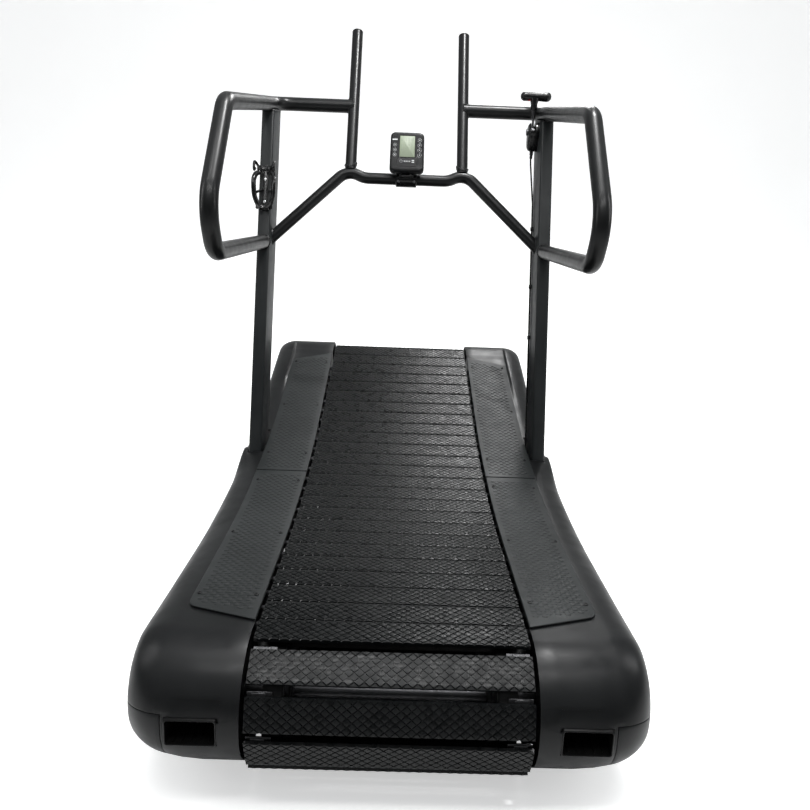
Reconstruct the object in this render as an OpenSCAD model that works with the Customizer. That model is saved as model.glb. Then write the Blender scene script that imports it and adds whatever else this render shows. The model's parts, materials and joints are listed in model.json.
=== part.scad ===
// Curved manual treadmill.
// +Y is the running direction, +X is the runner's right, +Z is up.
// The floor is z = 0 and the plan centre is x = y = 0. All lengths are millimetres.

/* [Running deck] */
// slat length across the belt
belt_w = 460; // [400:10:520]
// outer radius of the slats round each roller
roll_r = 122; // [115:1:140]
// radius of the dip that the runner stands in
dip_r = 2350; // [1800:50:3000]
// fall of the deck at the rear, degrees
rear_fall = 5; // [2:0.5:8]
// rise of the deck at the front, degrees
front_rise = 13.9; // [8:0.1:18]
// wanted spacing of the slats along the drive belts
slat_pitch_target = 60; // [50:1:70]
// width of one slat tread in the running direction
tread_w = 55; // [45:1:57]

/* [Covers] */
// overall width over the side covers
overall_w = 868; // [780:2:900]
// wall of the moulded covers
cover_t = 3; // [2:0.5:4]
// width of a foot plate
step_w = 132; // [110:1:140]
// thickness of a foot plate
step_t = 4; // [3:0.5:6]

/* [Uprights and rails] */
// upright section across the machine
post_w = 35; // [30:1:50]
// upright section in the running direction
post_d = 105; // [80:1:120]
// wall of the upright
post_t = 2.5; // [2:0.5:4]
// forward lean of the uprights, degrees
post_lean = 21.06; // [10:0.5:30]
// handrail tube diameter
rail_d = 38; // [32:1:42]
// push bar and lower crossbar tube diameter
bar_d = 32; // [25:1:38]
// tube wall
tube_t = 2.5; // [1.5:0.5:3]
// distance between the push bars
horn_gap = 324; // [260:2:400]
// forward lean of the push bars, degrees
horn_lean = 32; // [20:1:40]

/* [Resistance brake] */
// brake disc radius
disc_r = 105; // [90:1:115]
// lever travel, degrees
lever_travel = 22; // [10:1:24]

/* [Console] */
// console width
console_w = 98; // [90:1:120]
// console height along its face
console_h = 116; // [100:1:140]
// console thickness
console_t = 26; // [20:1:32]
// console lean from upright, degrees
console_lean = 24; // [10:1:40]

/* [Hidden] */
$fn = 48;
rear_c = [-731, 163];
front_c = [709, 275];
slat_t = 25;
path_r = roll_r - slat_t;
belt_t = 6;
belt_x = 190;
belt_strip = 30;
inner_x = 238;
outer_x = overall_w / 2;
plate_x = 250;
plate_t = 5;
step_x = inner_x + step_w;
post_x = 397;
post_out = post_x + post_w / 2 + 0.1;
rail_x = 355;
rail_tube = [40, 60];
rail_z = 24;
shaft_r = 12.5;
rail_r = rail_d / 2;
bar_r = bar_d / 2;
gap = 0.3;
rear_end = -660;
rail_front = 690;
slot_split = 104;
seam_y = -37;
step_rear = -700;
step_front = 655;
pocket = [84, 70, 56];
pocket_c = [315, -860, 180];
disc_x = 301;
brake_pivot = [600, 220];
bend_steps = 7;

// unit vector of a 3D vector
function unit(v) = v / norm(v);
// direction in the YZ plane, degrees from +Y
function dir(a) = [cos(a), sin(a)];

// Deck curve: rear line, dip arc, front line.
rear_top = rear_c + roll_r * dir(90 - rear_fall);
front_top = front_c + roll_r * dir(90 + front_rise);
rear_dir = dir(-rear_fall);
front_dir = dir(front_rise);
meet_t = ((front_top[0] - rear_top[0]) * front_dir[1] - (front_top[1] - rear_top[1]) * front_dir[0])
         / (rear_dir[0] * front_dir[1] - rear_dir[1] * front_dir[0]);
meet = rear_top + meet_t * rear_dir;
dip_tan = dip_r * tan((rear_fall + front_rise) / 2);
dip_start = meet - dip_tan * rear_dir;
dip_end = meet + dip_tan * front_dir;
dip_c = dip_start + dip_r * dir(90 - rear_fall);
return_a = atan2(front_c[1] - rear_c[1], front_c[0] - rear_c[0]);

// Lengths of the six stretches of the drive belt's centre line.
len_rear = norm(dip_start - rear_top);
len_dip = (dip_r + slat_t) * (rear_fall + front_rise) * PI / 180;
len_front = norm(front_top - dip_end);
turn_front = 180 + front_rise - return_a;
turn_rear = 180 + return_a + rear_fall;
len_nose = path_r * turn_front * PI / 180;
len_return = norm(front_c - rear_c);
len_tail = path_r * turn_rear * PI / 180;
loop_len = len_rear + len_dip + len_front + len_nose + len_return + len_tail;
slat_n = round(loop_len / slat_pitch_target);
slat_pitch = loop_len / slat_n;

// points of an arc in the YZ plane
function arc_pts(c, r, a0, a1, n) = [for (i = [0:n]) c + r * dir(a0 + (a1 - a0) * i / n)];

// closed outline of the slat loop, moved inward by d
function loop_pts(d) = concat(
    arc_pts(dip_c, dip_r + d, 270 - rear_fall, 270 + front_rise, 16),
    arc_pts(front_c, roll_r - d, 90 + front_rise, return_a - 90, 20),
    arc_pts(rear_c, roll_r - d, 270 + return_a, 90 - rear_fall, 20));

// height of the deck surface at y
function deck_z(y) =
    y < rear_top[0] ? rear_c[1] + sqrt(max(0, roll_r * roll_r - pow(y - rear_c[0], 2)))
    : y < dip_start[0] ? rear_top[1] - tan(rear_fall) * (y - rear_top[0])
    : y < dip_end[0] ? dip_c[1] - sqrt(dip_r * dip_r - pow(y - dip_c[0], 2))
    : y < front_top[0] ? dip_end[1] + tan(front_rise) * (y - dip_end[0])
    : front_c[1] + sqrt(max(0, roll_r * roll_r - pow(y - front_c[0], 2)));

// [y, z, angle] on the belt centre line at length s from the rear tangent point
function on_loop(s0) = let (s = s0 < 0 ? s0 + loop_len : s0 >= loop_len ? s0 - loop_len : s0)
    s < len_rear ? line_at(rear_top, -rear_fall, s)
    : s < len_rear + len_dip ? dip_at(s - len_rear)
    : s < len_rear + len_dip + len_front ? line_at(dip_end, front_rise, s - len_rear - len_dip)
    : nose_at(s - len_rear - len_dip - len_front);
function line_at(p, a, s) = let (q = p + s * dir(a) - slat_t * dir(a + 90)) [q[0], q[1], a];
function dip_at(s) = let (a = s / (dip_r + slat_t) * 180 / PI - rear_fall,
    q = dip_c + (dip_r + slat_t) * dir(a - 90)) [q[0], q[1], a];
function nose_at(s) =
    s < len_nose ? turn_at(front_c, 90 + front_rise, s)
    : s < len_nose + len_return ? return_at(s - len_nose)
    : turn_at(rear_c, 270 + return_a, s - len_nose - len_return);
function turn_at(c, a0, s) = let (a = a0 - s / path_r * 180 / PI,
    q = c + path_r * dir(a)) [q[0], q[1], a - 90];
function return_at(s) = let (q = front_c + path_r * dir(return_a - 90) - s * dir(return_a))
    [q[0], q[1], return_a + 180];

// smooth 0 to 1 step
function ease(t) = let (c = min(1, max(0, t))) c * c * (3 - 2 * c);

// centre of an upright at height z
function post_y(z) = 138 + tan(post_lean) * (z - 285);

// Puts a YZ outline at x and gives it thickness t along +X.
module yz_slab(pts, x, t) {
    translate([x, 0, 0]) rotate([90, 0, 90]) linear_extrude(t) polygon(pts);
}

// cylinder along X from x0 to x1 at [y, z]
module x_cyl(r, x0, x1, c) {
    translate([x0, c[0], c[1]]) rotate([0, 90, 0]) cylinder(r = r, h = x1 - x0);
}

// both sides of the machine
module both_sides() {
    children();
    mirror([1, 0, 0]) children();
}

// ---- bent tubes ----

// corner of a path replaced by the points of an arc of radius r
function corner(p0, p1, p2, r) = let (
    u = unit(p1 - p0), v = unit(p2 - p1), a = acos(max(-1, min(1, u * v))),
    t = r * tan(a / 2), w = unit(v - (u * v) * u))
    [for (i = [0:bend_steps]) let (b = a * i / bend_steps)
        p1 - t * u + r * sin(b) * u + r * (1 - cos(b)) * w];
// path with every inner corner rounded
function rounded(p, r) = concat([p[0]],
    [for (i = [1:len(p) - 2]) each corner(p[i - 1], p[i], p[i + 1], r[i - 1])], [p[len(p) - 1]]);
// tangent at each point of a path
function tangent(p, i) = i == 0 ? unit(p[1] - p[0])
    : i == len(p) - 1 ? unit(p[i] - p[i - 1]) : unit(unit(p[i] - p[i - 1]) + unit(p[i + 1] - p[i]));
// normals carried along the path without twist
function normals(p, n0, i = 0, acc = []) = i == len(p) ? acc
    : let (t = tangent(p, i), n = i == 0 ? n0 : acc[i - 1], m = unit(n - (n * t) * t))
      normals(p, n0, i + 1, concat(acc, [m]));
// one ring of points round a path point
function ring(c, t, n, r, sides) = let (b = cross(t, n))
    [for (k = [0:sides - 1]) c + r * (cos(360 * k / sides) * n + sin(360 * k / sides) * b)];
// all rings of a tube surface
function skin(p, n0, r, sides) = let (ns = normals(p, n0))
    [for (i = [0:len(p) - 1]) each ring(p[i], tangent(p, i), ns[i], r, sides)];
// quads between neighbouring rings, outward or inward facing
function skin_faces(rows, sides, base, flip) = [for (i = [0:rows - 2], k = [0:sides - 1])
    let (k2 = (k + 1) % sides, a = base + i * sides + k, b = base + i * sides + k2,
         c = base + (i + 1) * sides + k2, d = base + (i + 1) * sides + k)
    each flip ? [[a, b, c], [a, c, d]] : [[a, c, b], [a, d, c]]];
// ring-shaped end faces
function end_faces(sides, outer, inner, flip) = [for (k = [0:sides - 1])
    let (k2 = (k + 1) % sides)
    each flip ? [[outer + k, inner + k2, outer + k2], [outer + k, inner + k, inner + k2]]
              : [[outer + k, outer + k2, inner + k2], [outer + k, inner + k2, inner + k]]];

// hollow bent tube
module bent_tube(p, n0, r, t, sides) {
    rows = len(p);
    pts = concat(skin(p, n0, r, sides), skin(p, n0, r - t, sides));
    in0 = rows * sides;
    last = (rows - 1) * sides;
    faces = concat(skin_faces(rows, sides, 0, false), skin_faces(rows, sides, in0, true),
        end_faces(sides, 0, in0, false), end_faces(sides, last, in0 + last, true));
    polyhedron(pts, faces);
}

// solid bent rod
module bent_rod(p, n0, r, sides) {
    rows = len(p);
    last = (rows - 1) * sides;
    pts = skin(p, n0, r, sides);
    faces = concat(skin_faces(rows, sides, 0, false),
        [[for (k = [0:sides - 1]) k]], [[for (k = [0:sides - 1]) last + sides - 1 - k]]);
    polyhedron(pts, faces);
}

// ---- base frame ----

// square tube along Y
module y_tube(x, z, w, h, t, y0, y1) {
    difference() {
        translate([x - w / 2, y0, z]) cube([w, y1 - y0, h]);
        translate([x - w / 2 + t, y0 - 1, z + t]) cube([w - 2 * t, y1 - y0 + 2, h - 2 * t]);
    }
}

// where the bolts of one upright go through its base rail
post_bolts = [for (z = [38, 70]) [post_y(z) - 14, z], for (z = [38, 70]) [post_y(z) + 18, z]];
wheel_c = [662, 36];

module base_rails() color([0.06, 0.06, 0.065]) both_sides() difference() {
    y_tube(rail_x, rail_z, rail_tube[0], rail_tube[1], 3, rear_end, rail_front);
    for (b = post_bolts) x_cyl(5.2, 330, 380, b);
    x_cyl(6.05, 330, 380, wheel_c);
}

module base_crossmembers() color([0.06, 0.06, 0.065]) for (y = [0, 560]) difference() {
    translate([-334.8, y - 20, 26]) cube([669.6, 40, 38]);
    translate([-336, y - 17, 29]) cube([672, 34, 32]);
}

module side_brackets() color([0.06, 0.06, 0.065]) both_sides() for (y = [-440, 60, 480]) {
    top = y < -200 ? 150 : y < 200 ? 170 : 200;
    difference() {
        union() {
            translate([255.2, y - 30, 84.2]) cube([118, 60, 5]);
            translate([255.2, y - 30, 84.2]) cube([5, 60, top - 84.2]);
        }
        for (d = [-18, 18]) {
            translate([rail_x, y + d, 80]) cylinder(r = 4.2, h = 20);
            x_cyl(4.2, 250, 270, [y + d, top - 14]);
        }
    }
}

module bracket_screws() both_sides() for (y = [-440, 60, 480], d = [-18, 18]) {
    top = y < -200 ? 150 : y < 200 ? 170 : 200;
    translate([rail_x, y + d, 89.3]) cylinder(r = 7, h = 5);
    translate([rail_x, y + d, 84.5]) cylinder(r = 4, h = 5);
    x_cyl(7, 260.3, 265, [y + d, top - 14]);
    x_cyl(4, 255.3, 261, [y + d, top - 14]);
}

module feet() color([0.03, 0.03, 0.03]) both_sides() for (y = [-620, 600])
    translate([rail_x, y, 0]) {
        cylinder(r1 = 24, r2 = 21, h = 12);
        translate([0, 0, 12]) cylinder(r = 9, h = 11.8);
    }

module left_transport_wheel() color([0.04, 0.04, 0.04]) mirror([1, 0, 0]) one_wheel();
module right_transport_wheel() color([0.04, 0.04, 0.04]) one_wheel();

module one_wheel() difference() {
    x_cyl(31, 305, 330, wheel_c);
    x_cyl(6.05, 300, 340, wheel_c);
}

module wheel_axles() both_sides() {
    x_cyl(6, 300, 376.5, wheel_c);
    x_cyl(10, 296, 300, wheel_c);
    x_cyl(10, 376.5, 381, wheel_c);
}

// ---- deck frame ----

tie_y = [-480, -150, 200, 540];
function tie_c(y) = [y, (deck_z(y) + rear_c[1] - roll_r + (y - rear_c[0]) * tan(return_a)) / 2];

module side_plate() difference() {
    yz_slab(loop_pts(14), plate_x, plate_t);
    x_cyl(20, plate_x - 1, plate_x + plate_t + 1, rear_c);
    x_cyl(20, plate_x - 1, plate_x + plate_t + 1, front_c);
    for (y = tie_y) x_cyl(6.2, plate_x - 1, plate_x + plate_t + 1, tie_c(y));
    for (s = stud_s) let (p = stud_at(s)) x_cyl(4.1, plate_x - 1, plate_x + plate_t + 1, p);
    for (y = [-330, 25, 370]) x_cyl(34, plate_x - 1, plate_x + plate_t + 1, tie_c(y));
    x_cyl(6.1, plate_x - 1, plate_x + plate_t + 1, brake_pivot);
}

module left_side_plate() color([0.05, 0.05, 0.055]) mirror([1, 0, 0]) side_plate();
module right_side_plate() color([0.05, 0.05, 0.055]) side_plate();

// round spacers between the side plates, inside the slat loop
module deck_ties() color([0.06, 0.06, 0.065]) for (y = tie_y) difference() {
    x_cyl(19, -plate_x + 0.1, plate_x - 0.1, tie_c(y));
    x_cyl(6, -plate_x - 1, plate_x + 1, tie_c(y));
}

module tie_bolts() both_sides() for (y = tie_y) {
    x_cyl(5.9, plate_x - 25, plate_x + plate_t + 1, tie_c(y));
    x_cyl(10, plate_x + plate_t + 0.1, plate_x + plate_t + 7, tie_c(y));
}

// track bearings that the slats roll on
bearing_r = 13;
stud_s = [for (i = [0:24]) 60 + i * 54];
function stud_at(s) = let (q = on_loop(s), p = [q[0], q[1]] - (bearing_r + 3.3 - 6) * dir(q[2] + 90)) p;

module track_bearings() color([0.62, 0.62, 0.64])
    both_sides() for (s = stud_s) let (p = stud_at(s)) difference() {
    x_cyl(bearing_r, 214, 224, p);
    x_cyl(4.05, 213, 225, p);
}

module track_studs() both_sides() for (s = stud_s) let (p = stud_at(s)) {
    x_cyl(4, 212, plate_x + plate_t + 2, p);
    x_cyl(6.5, 226, plate_x - 0.1, p);
    x_cyl(6.5, 210, 212, p);
}

module deck_fasteners() color([0.45, 0.45, 0.47]) {
    bracket_screws();
    tie_bolts();
    track_studs();
}

module bearing_housings() color([0.1, 0.1, 0.105]) both_sides() for (c = [rear_c, front_c]) difference() {
    union() {
        x_cyl(46, plate_x + plate_t + 0.1, plate_x + plate_t + 6, c);
        x_cyl(33, plate_x + plate_t + 0.1, plate_x + plate_t + 20, c);
    }
    x_cyl(26, plate_x + plate_t - 1, plate_x + plate_t + 16, c);
    x_cyl(18, plate_x + plate_t, plate_x + plate_t + 25, c);
    for (a = [45:90:315]) x_cyl(3.3, plate_x, plate_x + plate_t + 10, c + 39 * dir(a));
}

module shaft_bearings() color([0.6, 0.6, 0.62]) both_sides() for (c = [rear_c, front_c]) difference() {
    x_cyl(25.9, plate_x + plate_t + 0.5, plate_x + plate_t + 15.5, c);
    x_cyl(shaft_r + 0.05, plate_x, plate_x + plate_t + 20, c);
}

// ---- slat belt ----

module slat_treads() color([0.04, 0.04, 0.045]) for (k = [0:slat_n - 1]) let (p = on_loop(k * slat_pitch - 3))
    translate([-belt_w / 2, p[0], p[1]]) rotate([p[2], 0, 0]) rotate([90, 0, 90]) linear_extrude(belt_w)
        polygon([[-tread_w / 2, 17.2], [tread_w / 2, 17.2],
            [tread_w / 2, slat_t - 2], [tread_w / 2 - 2, slat_t],
                 [2 - tread_w / 2, slat_t], [-tread_w / 2, slat_t - 2]]);

module slat_bars() color([0.03, 0.03, 0.033]) for (k = [0:slat_n - 1]) let (p = on_loop(k * slat_pitch - 3))
    translate([0, p[0], p[1]]) rotate([p[2], 0, 0]) difference() {
        translate([-226, -20, belt_t / 2 + 0.6]) cube([452, 40, 17 - belt_t / 2 - 0.6]);
        translate([-227, -17, belt_t / 2 + 3.1]) cube([454, 34, 17 - belt_t / 2 - 5.6]);
    }

module drive_belts() color([0.03, 0.03, 0.03]) both_sides() difference() {
    yz_slab(loop_pts(slat_t - belt_t / 2), belt_x - belt_strip / 2, belt_strip);
    yz_slab(loop_pts(slat_t + belt_t / 2), belt_x - belt_strip / 2 - 1, belt_strip + 2);
}

// ---- rollers ----

module pulley_pair(c) both_sides() difference() {
    union() {
        x_cyl(path_r - belt_t / 2 - 1, belt_x - 18, belt_x + 18, c);
        x_cyl(30, belt_x - 24, belt_x + 24, c);
    }
    x_cyl(shaft_r, belt_x - 26, belt_x + 26, c);
}

module rear_pulleys() color([0.14, 0.14, 0.15]) pulley_pair(rear_c);
module front_pulleys() color([0.14, 0.14, 0.15]) pulley_pair(front_c);
module rear_shaft() color([0.6, 0.6, 0.62]) x_cyl(shaft_r, -280, 280, rear_c);
module front_shaft() color([0.6, 0.6, 0.62]) {
    x_cyl(shaft_r, -280, 322, front_c);
    disc_hub();
}

module brake_disc() color([0.75, 0.76, 0.78]) difference() {
    x_cyl(disc_r, disc_x - 3, disc_x + 3, front_c);
    x_cyl(22, disc_x - 4, disc_x + 4, front_c);
    for (a = [0:60:300]) x_cyl(13, disc_x - 4, disc_x + 4, front_c + 52 * dir(a));
}

module disc_hub() difference() {
    union() {
        x_cyl(21.9, disc_x - 10, disc_x + 12, front_c);
        x_cyl(34, disc_x - 9, disc_x - 3.1, front_c);
    }
    x_cyl(shaft_r, disc_x - 12, disc_x + 14, front_c);
}

// ---- eddy current brake ----

magnet_c = [617, 283];

// fork that carries the magnets over the rim of the brake disc
module brake_arm() color([0.5, 0.5, 0.52]) difference() {
    union() {
        for (x = [285, 313]) translate([x, 592, brake_pivot[1] - 10]) cube([4, 46, 91]);
        translate([285, 585, brake_pivot[1] - 10]) cube([32, 7.2, 91]);
        x_cyl(12, 285, 317, brake_pivot);
        translate([285, 585, brake_pivot[1] - 10]) cube([32, 20, 20]);
    }
    x_cyl(6.05, 280, 320, brake_pivot);
    x_cyl(1.6, 310, 320, [598, brake_pivot[1] + 76]);
}

module brake_magnets() color([0.7, 0.7, 0.72]) for (x = [289.1, 308.4], d = [-10, 10])
    x_cyl(9, x, x + 4.5, [magnet_c[0], magnet_c[1] + d]);

module brake_pivot_pin() {
    x_cyl(6, plate_x - 3, 320.5, brake_pivot);
    x_cyl(10, plate_x + plate_t + 0.1, 284.5, brake_pivot);
    x_cyl(9, 320.5, 324, brake_pivot);
}

// ---- covers ----

// depth of the covers' top below the deck surface
top_drop = 3.5;
// inward offset of a cover's surface at column offset d and length y
function shoulder(d, y) = top_drop + d * (1 - 0.65 * ease((y + 60) / 150));
// the front cover's crown stands above the deck
function crown(d, x, y) = top_drop + d - 19 * (x > step_x + 2 ? ease((y - 300) / 360) : ease((y - 660) / 40));

// point of a deck outline at y, moved inward by e
function deck_pt(y, e) = [y, deck_z(y) - e];

// lengths at which a cover's top is shaped
rear_rows = [84, 62, 40, 18, -6, -32, -62, -110, -170, -235, -300, -350];
front_rows = [674, 655, 630, 600, 565, 525, 480, 435, 390, 345, 300, 250, 205, 160];
function rear_outline(d, t) = concat(
    [for (y = concat([slot_split - t], rear_rows, [dip_start[0] - 6])) deck_pt(y, shoulder(d, y) + t)],
    [for (i = [1:18]) let (a = 90 - rear_fall + (180 + rear_fall) * i / 18)
        rear_c + (roll_r - shoulder(d, -700) - t) * dir(a)],
    [[-600, 28 + d * 0.6 + t], [slot_split - t, 28 + d * 0.6 + t]]);

nose_r = roll_r + 27;
function front_outline(d, x, t) = concat(
    [[slot_split + 4 + t, 28 + d * 0.6 + t], [780 - d, 28 + d * 0.6 + t],
        [front_c[0] + nose_r + 5 - d - t, 110]],
    [for (i = [0:14]) front_c + (nose_r - 3 - d - t) * dir((90 + front_rise) * i / 14)],
    [for (y = concat(front_rows, [slot_split + 4 + t])) deck_pt(y, crown(d, x, y) + t)]);

// columns of a cover from the belt side to the outer side: [x, inward offset]
cover_cols = [[inner_x, 0], [step_x + 1, 0], [step_x + 3, 0], [step_x + 16, 3], [step_x + 32, 9],
              [outer_x - 10, 16], [outer_x - 3, 25], [outer_x, 38]];

// x of a column on a cover's inner skin
function inner_col(x) = x < outer_x - 9 ? x : x < outer_x - 1 ? outer_x - cover_t - 2.5 : outer_x - cover_t;

// cup-shaped moulded shell, open towards the belt
module cover_cup(outer, inner) {
    n = len(outer[0]);
    k = len(outer);
    pts = concat([for (row = outer) each row], [for (row = inner) each row]);
    base = k * n;
    wall = [for (i = [0:k - 2], j = [0:n - 1]) let (j2 = (j + 1) % n) each
        [[i * n + j, (i + 1) * n + j2, i * n + j2], [i * n + j, (i + 1) * n + j, (i + 1) * n + j2]]];
    wall_in = [for (i = [0:k - 2], j = [0:n - 1]) let (j2 = (j + 1) % n) each
        [[base + i * n + j, base + i * n + j2, base + (i + 1) * n + j2],
         [base + i * n + j, base + (i + 1) * n + j2, base + (i + 1) * n + j]]];
    rim = [for (j = [0:n - 1]) let (j2 = (j + 1) % n) each
        [[j, base + j2, base + j], [j, j2, base + j2]]];
    polyhedron(pts, concat(wall, wall_in, rim,
        [[for (j = [0:n - 1]) (k - 1) * n + n - 1 - j]], [[for (j = [0:n - 1]) base + (k - 1) * n + j]]));
}

// plan rounding of the rear outer corner: how far forward a column's tail moves
function tail_in(x) = x < 300 ? 0 : 26 * pow((x - 300) / (outer_x - 300), 2);
function tucked(p, x) = [p[0] + tail_in(x) * ease((-560 - p[0]) / 200), p[1]];

module rear_shell() {
    cover_cup([for (c = cover_cols) [for (p = rear_outline(c[1], 0))
            let (q = tucked(p, c[0])) [c[0], q[0], q[1]]]],
        [for (c = cover_cols) let (x = inner_col(c[0]))
            [for (p = rear_outline(c[1], cover_t)) let (q = tucked(p, c[0])) [x, q[0], q[1]]]]);
}

module front_shell() {
    cover_cup([for (c = cover_cols) [for (p = front_outline(c[1], c[0], 0)) [c[0], p[0], p[1]]]],
        [for (c = cover_cols) let (x = inner_col(c[0]))
            [for (p = front_outline(c[1], c[0], cover_t)) [x, p[0], p[1]]]]);
}

// space that an upright and its cable need
module post_slot() {
    translate([post_x - post_w / 2 - 6.5, 0, 0]) rotate([0, 90, 0]) linear_extrude(post_w + 8)
        polygon([[-30, post_y(30) - 58], [-400, post_y(400) - 58],
            [-400, post_y(400) + 58], [-30, post_y(30) + 58]]);
}

// underside opening of a cover, and its openings round the base rail and the side plate
module cover_open() {
    translate([inner_x - 5, -672, 0]) cube([outer_x - inner_x - 5, 1432, 40]);
    translate([rail_x - rail_tube[0] / 2 - 1, slot_split - 10, 0])
        cube([rail_tube[0] + 2, 30, rail_z + rail_tube[1] + 1]);
    translate([inner_x - 5, slot_split - 10, 0])
        cube([plate_x + plate_t + 1 - inner_x + 5, 30, deck_z(slot_split) - 10]);
}

// outer lower corner that the separate end cap fills
module cap_zone(g) {
    translate([pocket_c[0] + pocket[0] / 2 + 6 + g, -900, 0]) cube([80, 210 - 2 * g, 226 - g]);
}

module pocket_hole(g) {
    translate([pocket_c[0] - pocket[0] / 2 - g, -900, pocket_c[2] - pocket[2] / 2 - g])
        cube([pocket[0] + 2 * g, 90, pocket[2] + 2 * g]);
}

module rear_cover() difference() {
    rear_shell();
    post_slot();
    cover_open();
    cap_zone(0);
    pocket_hole(0);
}

module front_cover() difference() {
    front_shell();
    post_slot();
    cover_open();
}

module end_cap() intersection() {
    rear_shell();
    cap_zone(0.6);
}

module left_rear_cover() color([0.05, 0.05, 0.052]) mirror([1, 0, 0]) rear_cover();
module right_rear_cover() color([0.05, 0.05, 0.052]) rear_cover();
module left_front_cover() color([0.05, 0.05, 0.052]) mirror([1, 0, 0]) front_cover();
module right_front_cover() color([0.05, 0.05, 0.052]) front_cover();
module left_end_cap() color([0.04, 0.04, 0.042]) mirror([1, 0, 0]) end_cap();
module right_end_cap() color([0.04, 0.04, 0.042]) end_cap();

// open-backed boxes that line the grip pockets in the rear covers
module pocket_liners() color([0.02, 0.02, 0.021]) both_sides() difference() {
    translate([pocket_c[0] - pocket[0] / 2 + 0.2, -836, pocket_c[2] - pocket[2] / 2 + 0.2])
        cube([pocket[0] - 0.4, 44, pocket[2] - 0.4]);
    translate([pocket_c[0] - pocket[0] / 2 + 2.2, -840, pocket_c[2] - pocket[2] / 2 + 2.2])
        cube([pocket[0] - 4.4, 45, pocket[2] - 4.4]);
}

// ---- foot plates ----

function step_outline(y0, y1, n) = concat(
    [for (i = [0:n]) let (y = y0 + (y1 - y0) * i / n) deck_pt(y, 2.9)],
    [for (i = [0:n]) let (y = y1 + (y0 - y1) * i / n) deck_pt(y, 2.9 - step_t)]);

// plan outline of the rear foot plate: slanted rear edge with a round outer corner
rear_step_plan = [[inner_x, step_rear], [step_x - 30, step_rear + 30], [step_x - 10, step_rear + 38],
    [step_x - 2, step_rear + 48], [step_x, step_rear + 62], [step_x, seam_y - 2], [inner_x, seam_y - 2]];
front_step_plan = [[inner_x, seam_y + 2], [step_x, seam_y + 2], [step_x, step_front - 40],
    [step_x - 6, step_front - 22], [step_x - 20, step_front - 14], [inner_x, step_front]];

module step_plate(plan, y0, y1) intersection() {
    yz_slab(step_outline(y0, y1, 20), inner_x, step_w);
    translate([0, 0, 200]) linear_extrude(260) polygon(plan);
}

module left_rear_step() color([0.05, 0.05, 0.05])
    mirror([1, 0, 0]) step_plate(rear_step_plan, step_rear, seam_y - 2);
module right_rear_step() color([0.05, 0.05, 0.05]) step_plate(rear_step_plan, step_rear, seam_y - 2);
module left_front_step() color([0.05, 0.05, 0.05])
    mirror([1, 0, 0]) step_plate(front_step_plan, seam_y + 2, step_front);
module right_front_step() color([0.05, 0.05, 0.05]) step_plate(front_step_plan, seam_y + 2, step_front);

module step_screws() color([0.45, 0.45, 0.47]) both_sides()
    for (x = [inner_x + 14, step_x - 14], y = [-620, -360, -90, 60, 330, 590])
        translate([x, y, deck_z(y) + step_t - 2.8]) rotate([atan((deck_z(y + 1) - deck_z(y - 1)) / 2), 0, 0])
            cylinder(r = 4.5, h = 1.6);

// ---- uprights ----

// upright blank between two heights measured along it
module post_blank(w, d, z0, z1) {
    translate([post_x - w / 2, 0, 0]) rotate([90, 0, 90]) linear_extrude(w)
        polygon([[post_y(z0) - d / 2 / cos(post_lean), z0], [post_y(z0) + d / 2 / cos(post_lean), z0],
                 [post_y(z1) + d / 2 / cos(post_lean), z1], [post_y(z1) - d / 2 / cos(post_lean), z1]]);
}

post_top = 1150;
rail_slope = 0.0625;
// centre height of the handrail's top run at y
function top_run(y) = 1178 + rail_slope * (y - 440);

module upright() difference() {
    post_blank(post_w, post_d, 27, 1190);
    post_blank(post_w - 2 * post_t, post_d - 2 * post_t, 20, 1200);
    translate([post_x, 440, top_run(440)]) rotate([atan(rail_slope), 0, 0])
        translate([-40, -200, -rail_r - 0.2])
        cube([80, 400, 80]);
    for (b = post_bolts) x_cyl(5.2, 370, 425, b);
}

module cage_holes() mirror([1, 0, 0]) for (s = cage_bolt_z)
    translate([post_x - 1, post_y(s) - post_d / 2 / cos(post_lean), s]) rotate([-90 - post_lean, 0, 0])
        translate([0, 0, -12]) cylinder(r = 2.7, h = 24);

module left_upright() color([0.07, 0.075, 0.08]) difference() {
    mirror([1, 0, 0]) upright();
    cage_holes();
}

module right_upright() color([0.07, 0.075, 0.08]) difference() {
    upright();
    x_cyl(5.05, 370, 425, [lever_y, lever_z]);
}

module upright_bolts() color([0.12, 0.12, 0.125]) both_sides() for (b = post_bolts) {
    x_cyl(5, 328, post_out + 7, b);
    x_cyl(9, post_out, post_out + 7, b);
    x_cyl(9, rail_x + rail_tube[0] / 2 + 0.1, post_x - post_w / 2 - 0.1, b);
    x_cyl(9, 328, 334.9, b);
}

// ---- handrails and bars ----

horn_x = horn_gap / 2;
horn_low = [414, 1005];
function horn_at(z) = [horn_x, horn_low[0] + tan(horn_lean) * (z - horn_low[1]), z];
horn_top = 1398;
cross_z = top_run(523) - 0.5;
cross_y = horn_at(cross_z)[1];

handrail_pts = [[horn_x, cross_y, cross_z], [post_x, cross_y, cross_z], [post_x, -83, top_run(-83)],
    [post_x, -274, 940], [post_x, -233, 843], [post_x, 300, 807]];
handrail_path = rounded(handrail_pts, [60, 62, 90, 46]);

module handrail() difference() {
    bent_tube(handrail_path, [0, 0, 1], rail_r, tube_t, 20);
    horn_blank(bar_r + 0.05, 900, 1500);
    post_blank(post_w + 6, post_d + 0.2, 700, 1000);
}

// push bar cylinder between two heights
module horn_blank(r, z0, z1) {
    a = horn_at(z0);
    translate(a) rotate([-horn_lean, 0, 0]) cylinder(r = r, h = (z1 - z0) / cos(horn_lean));
}

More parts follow.
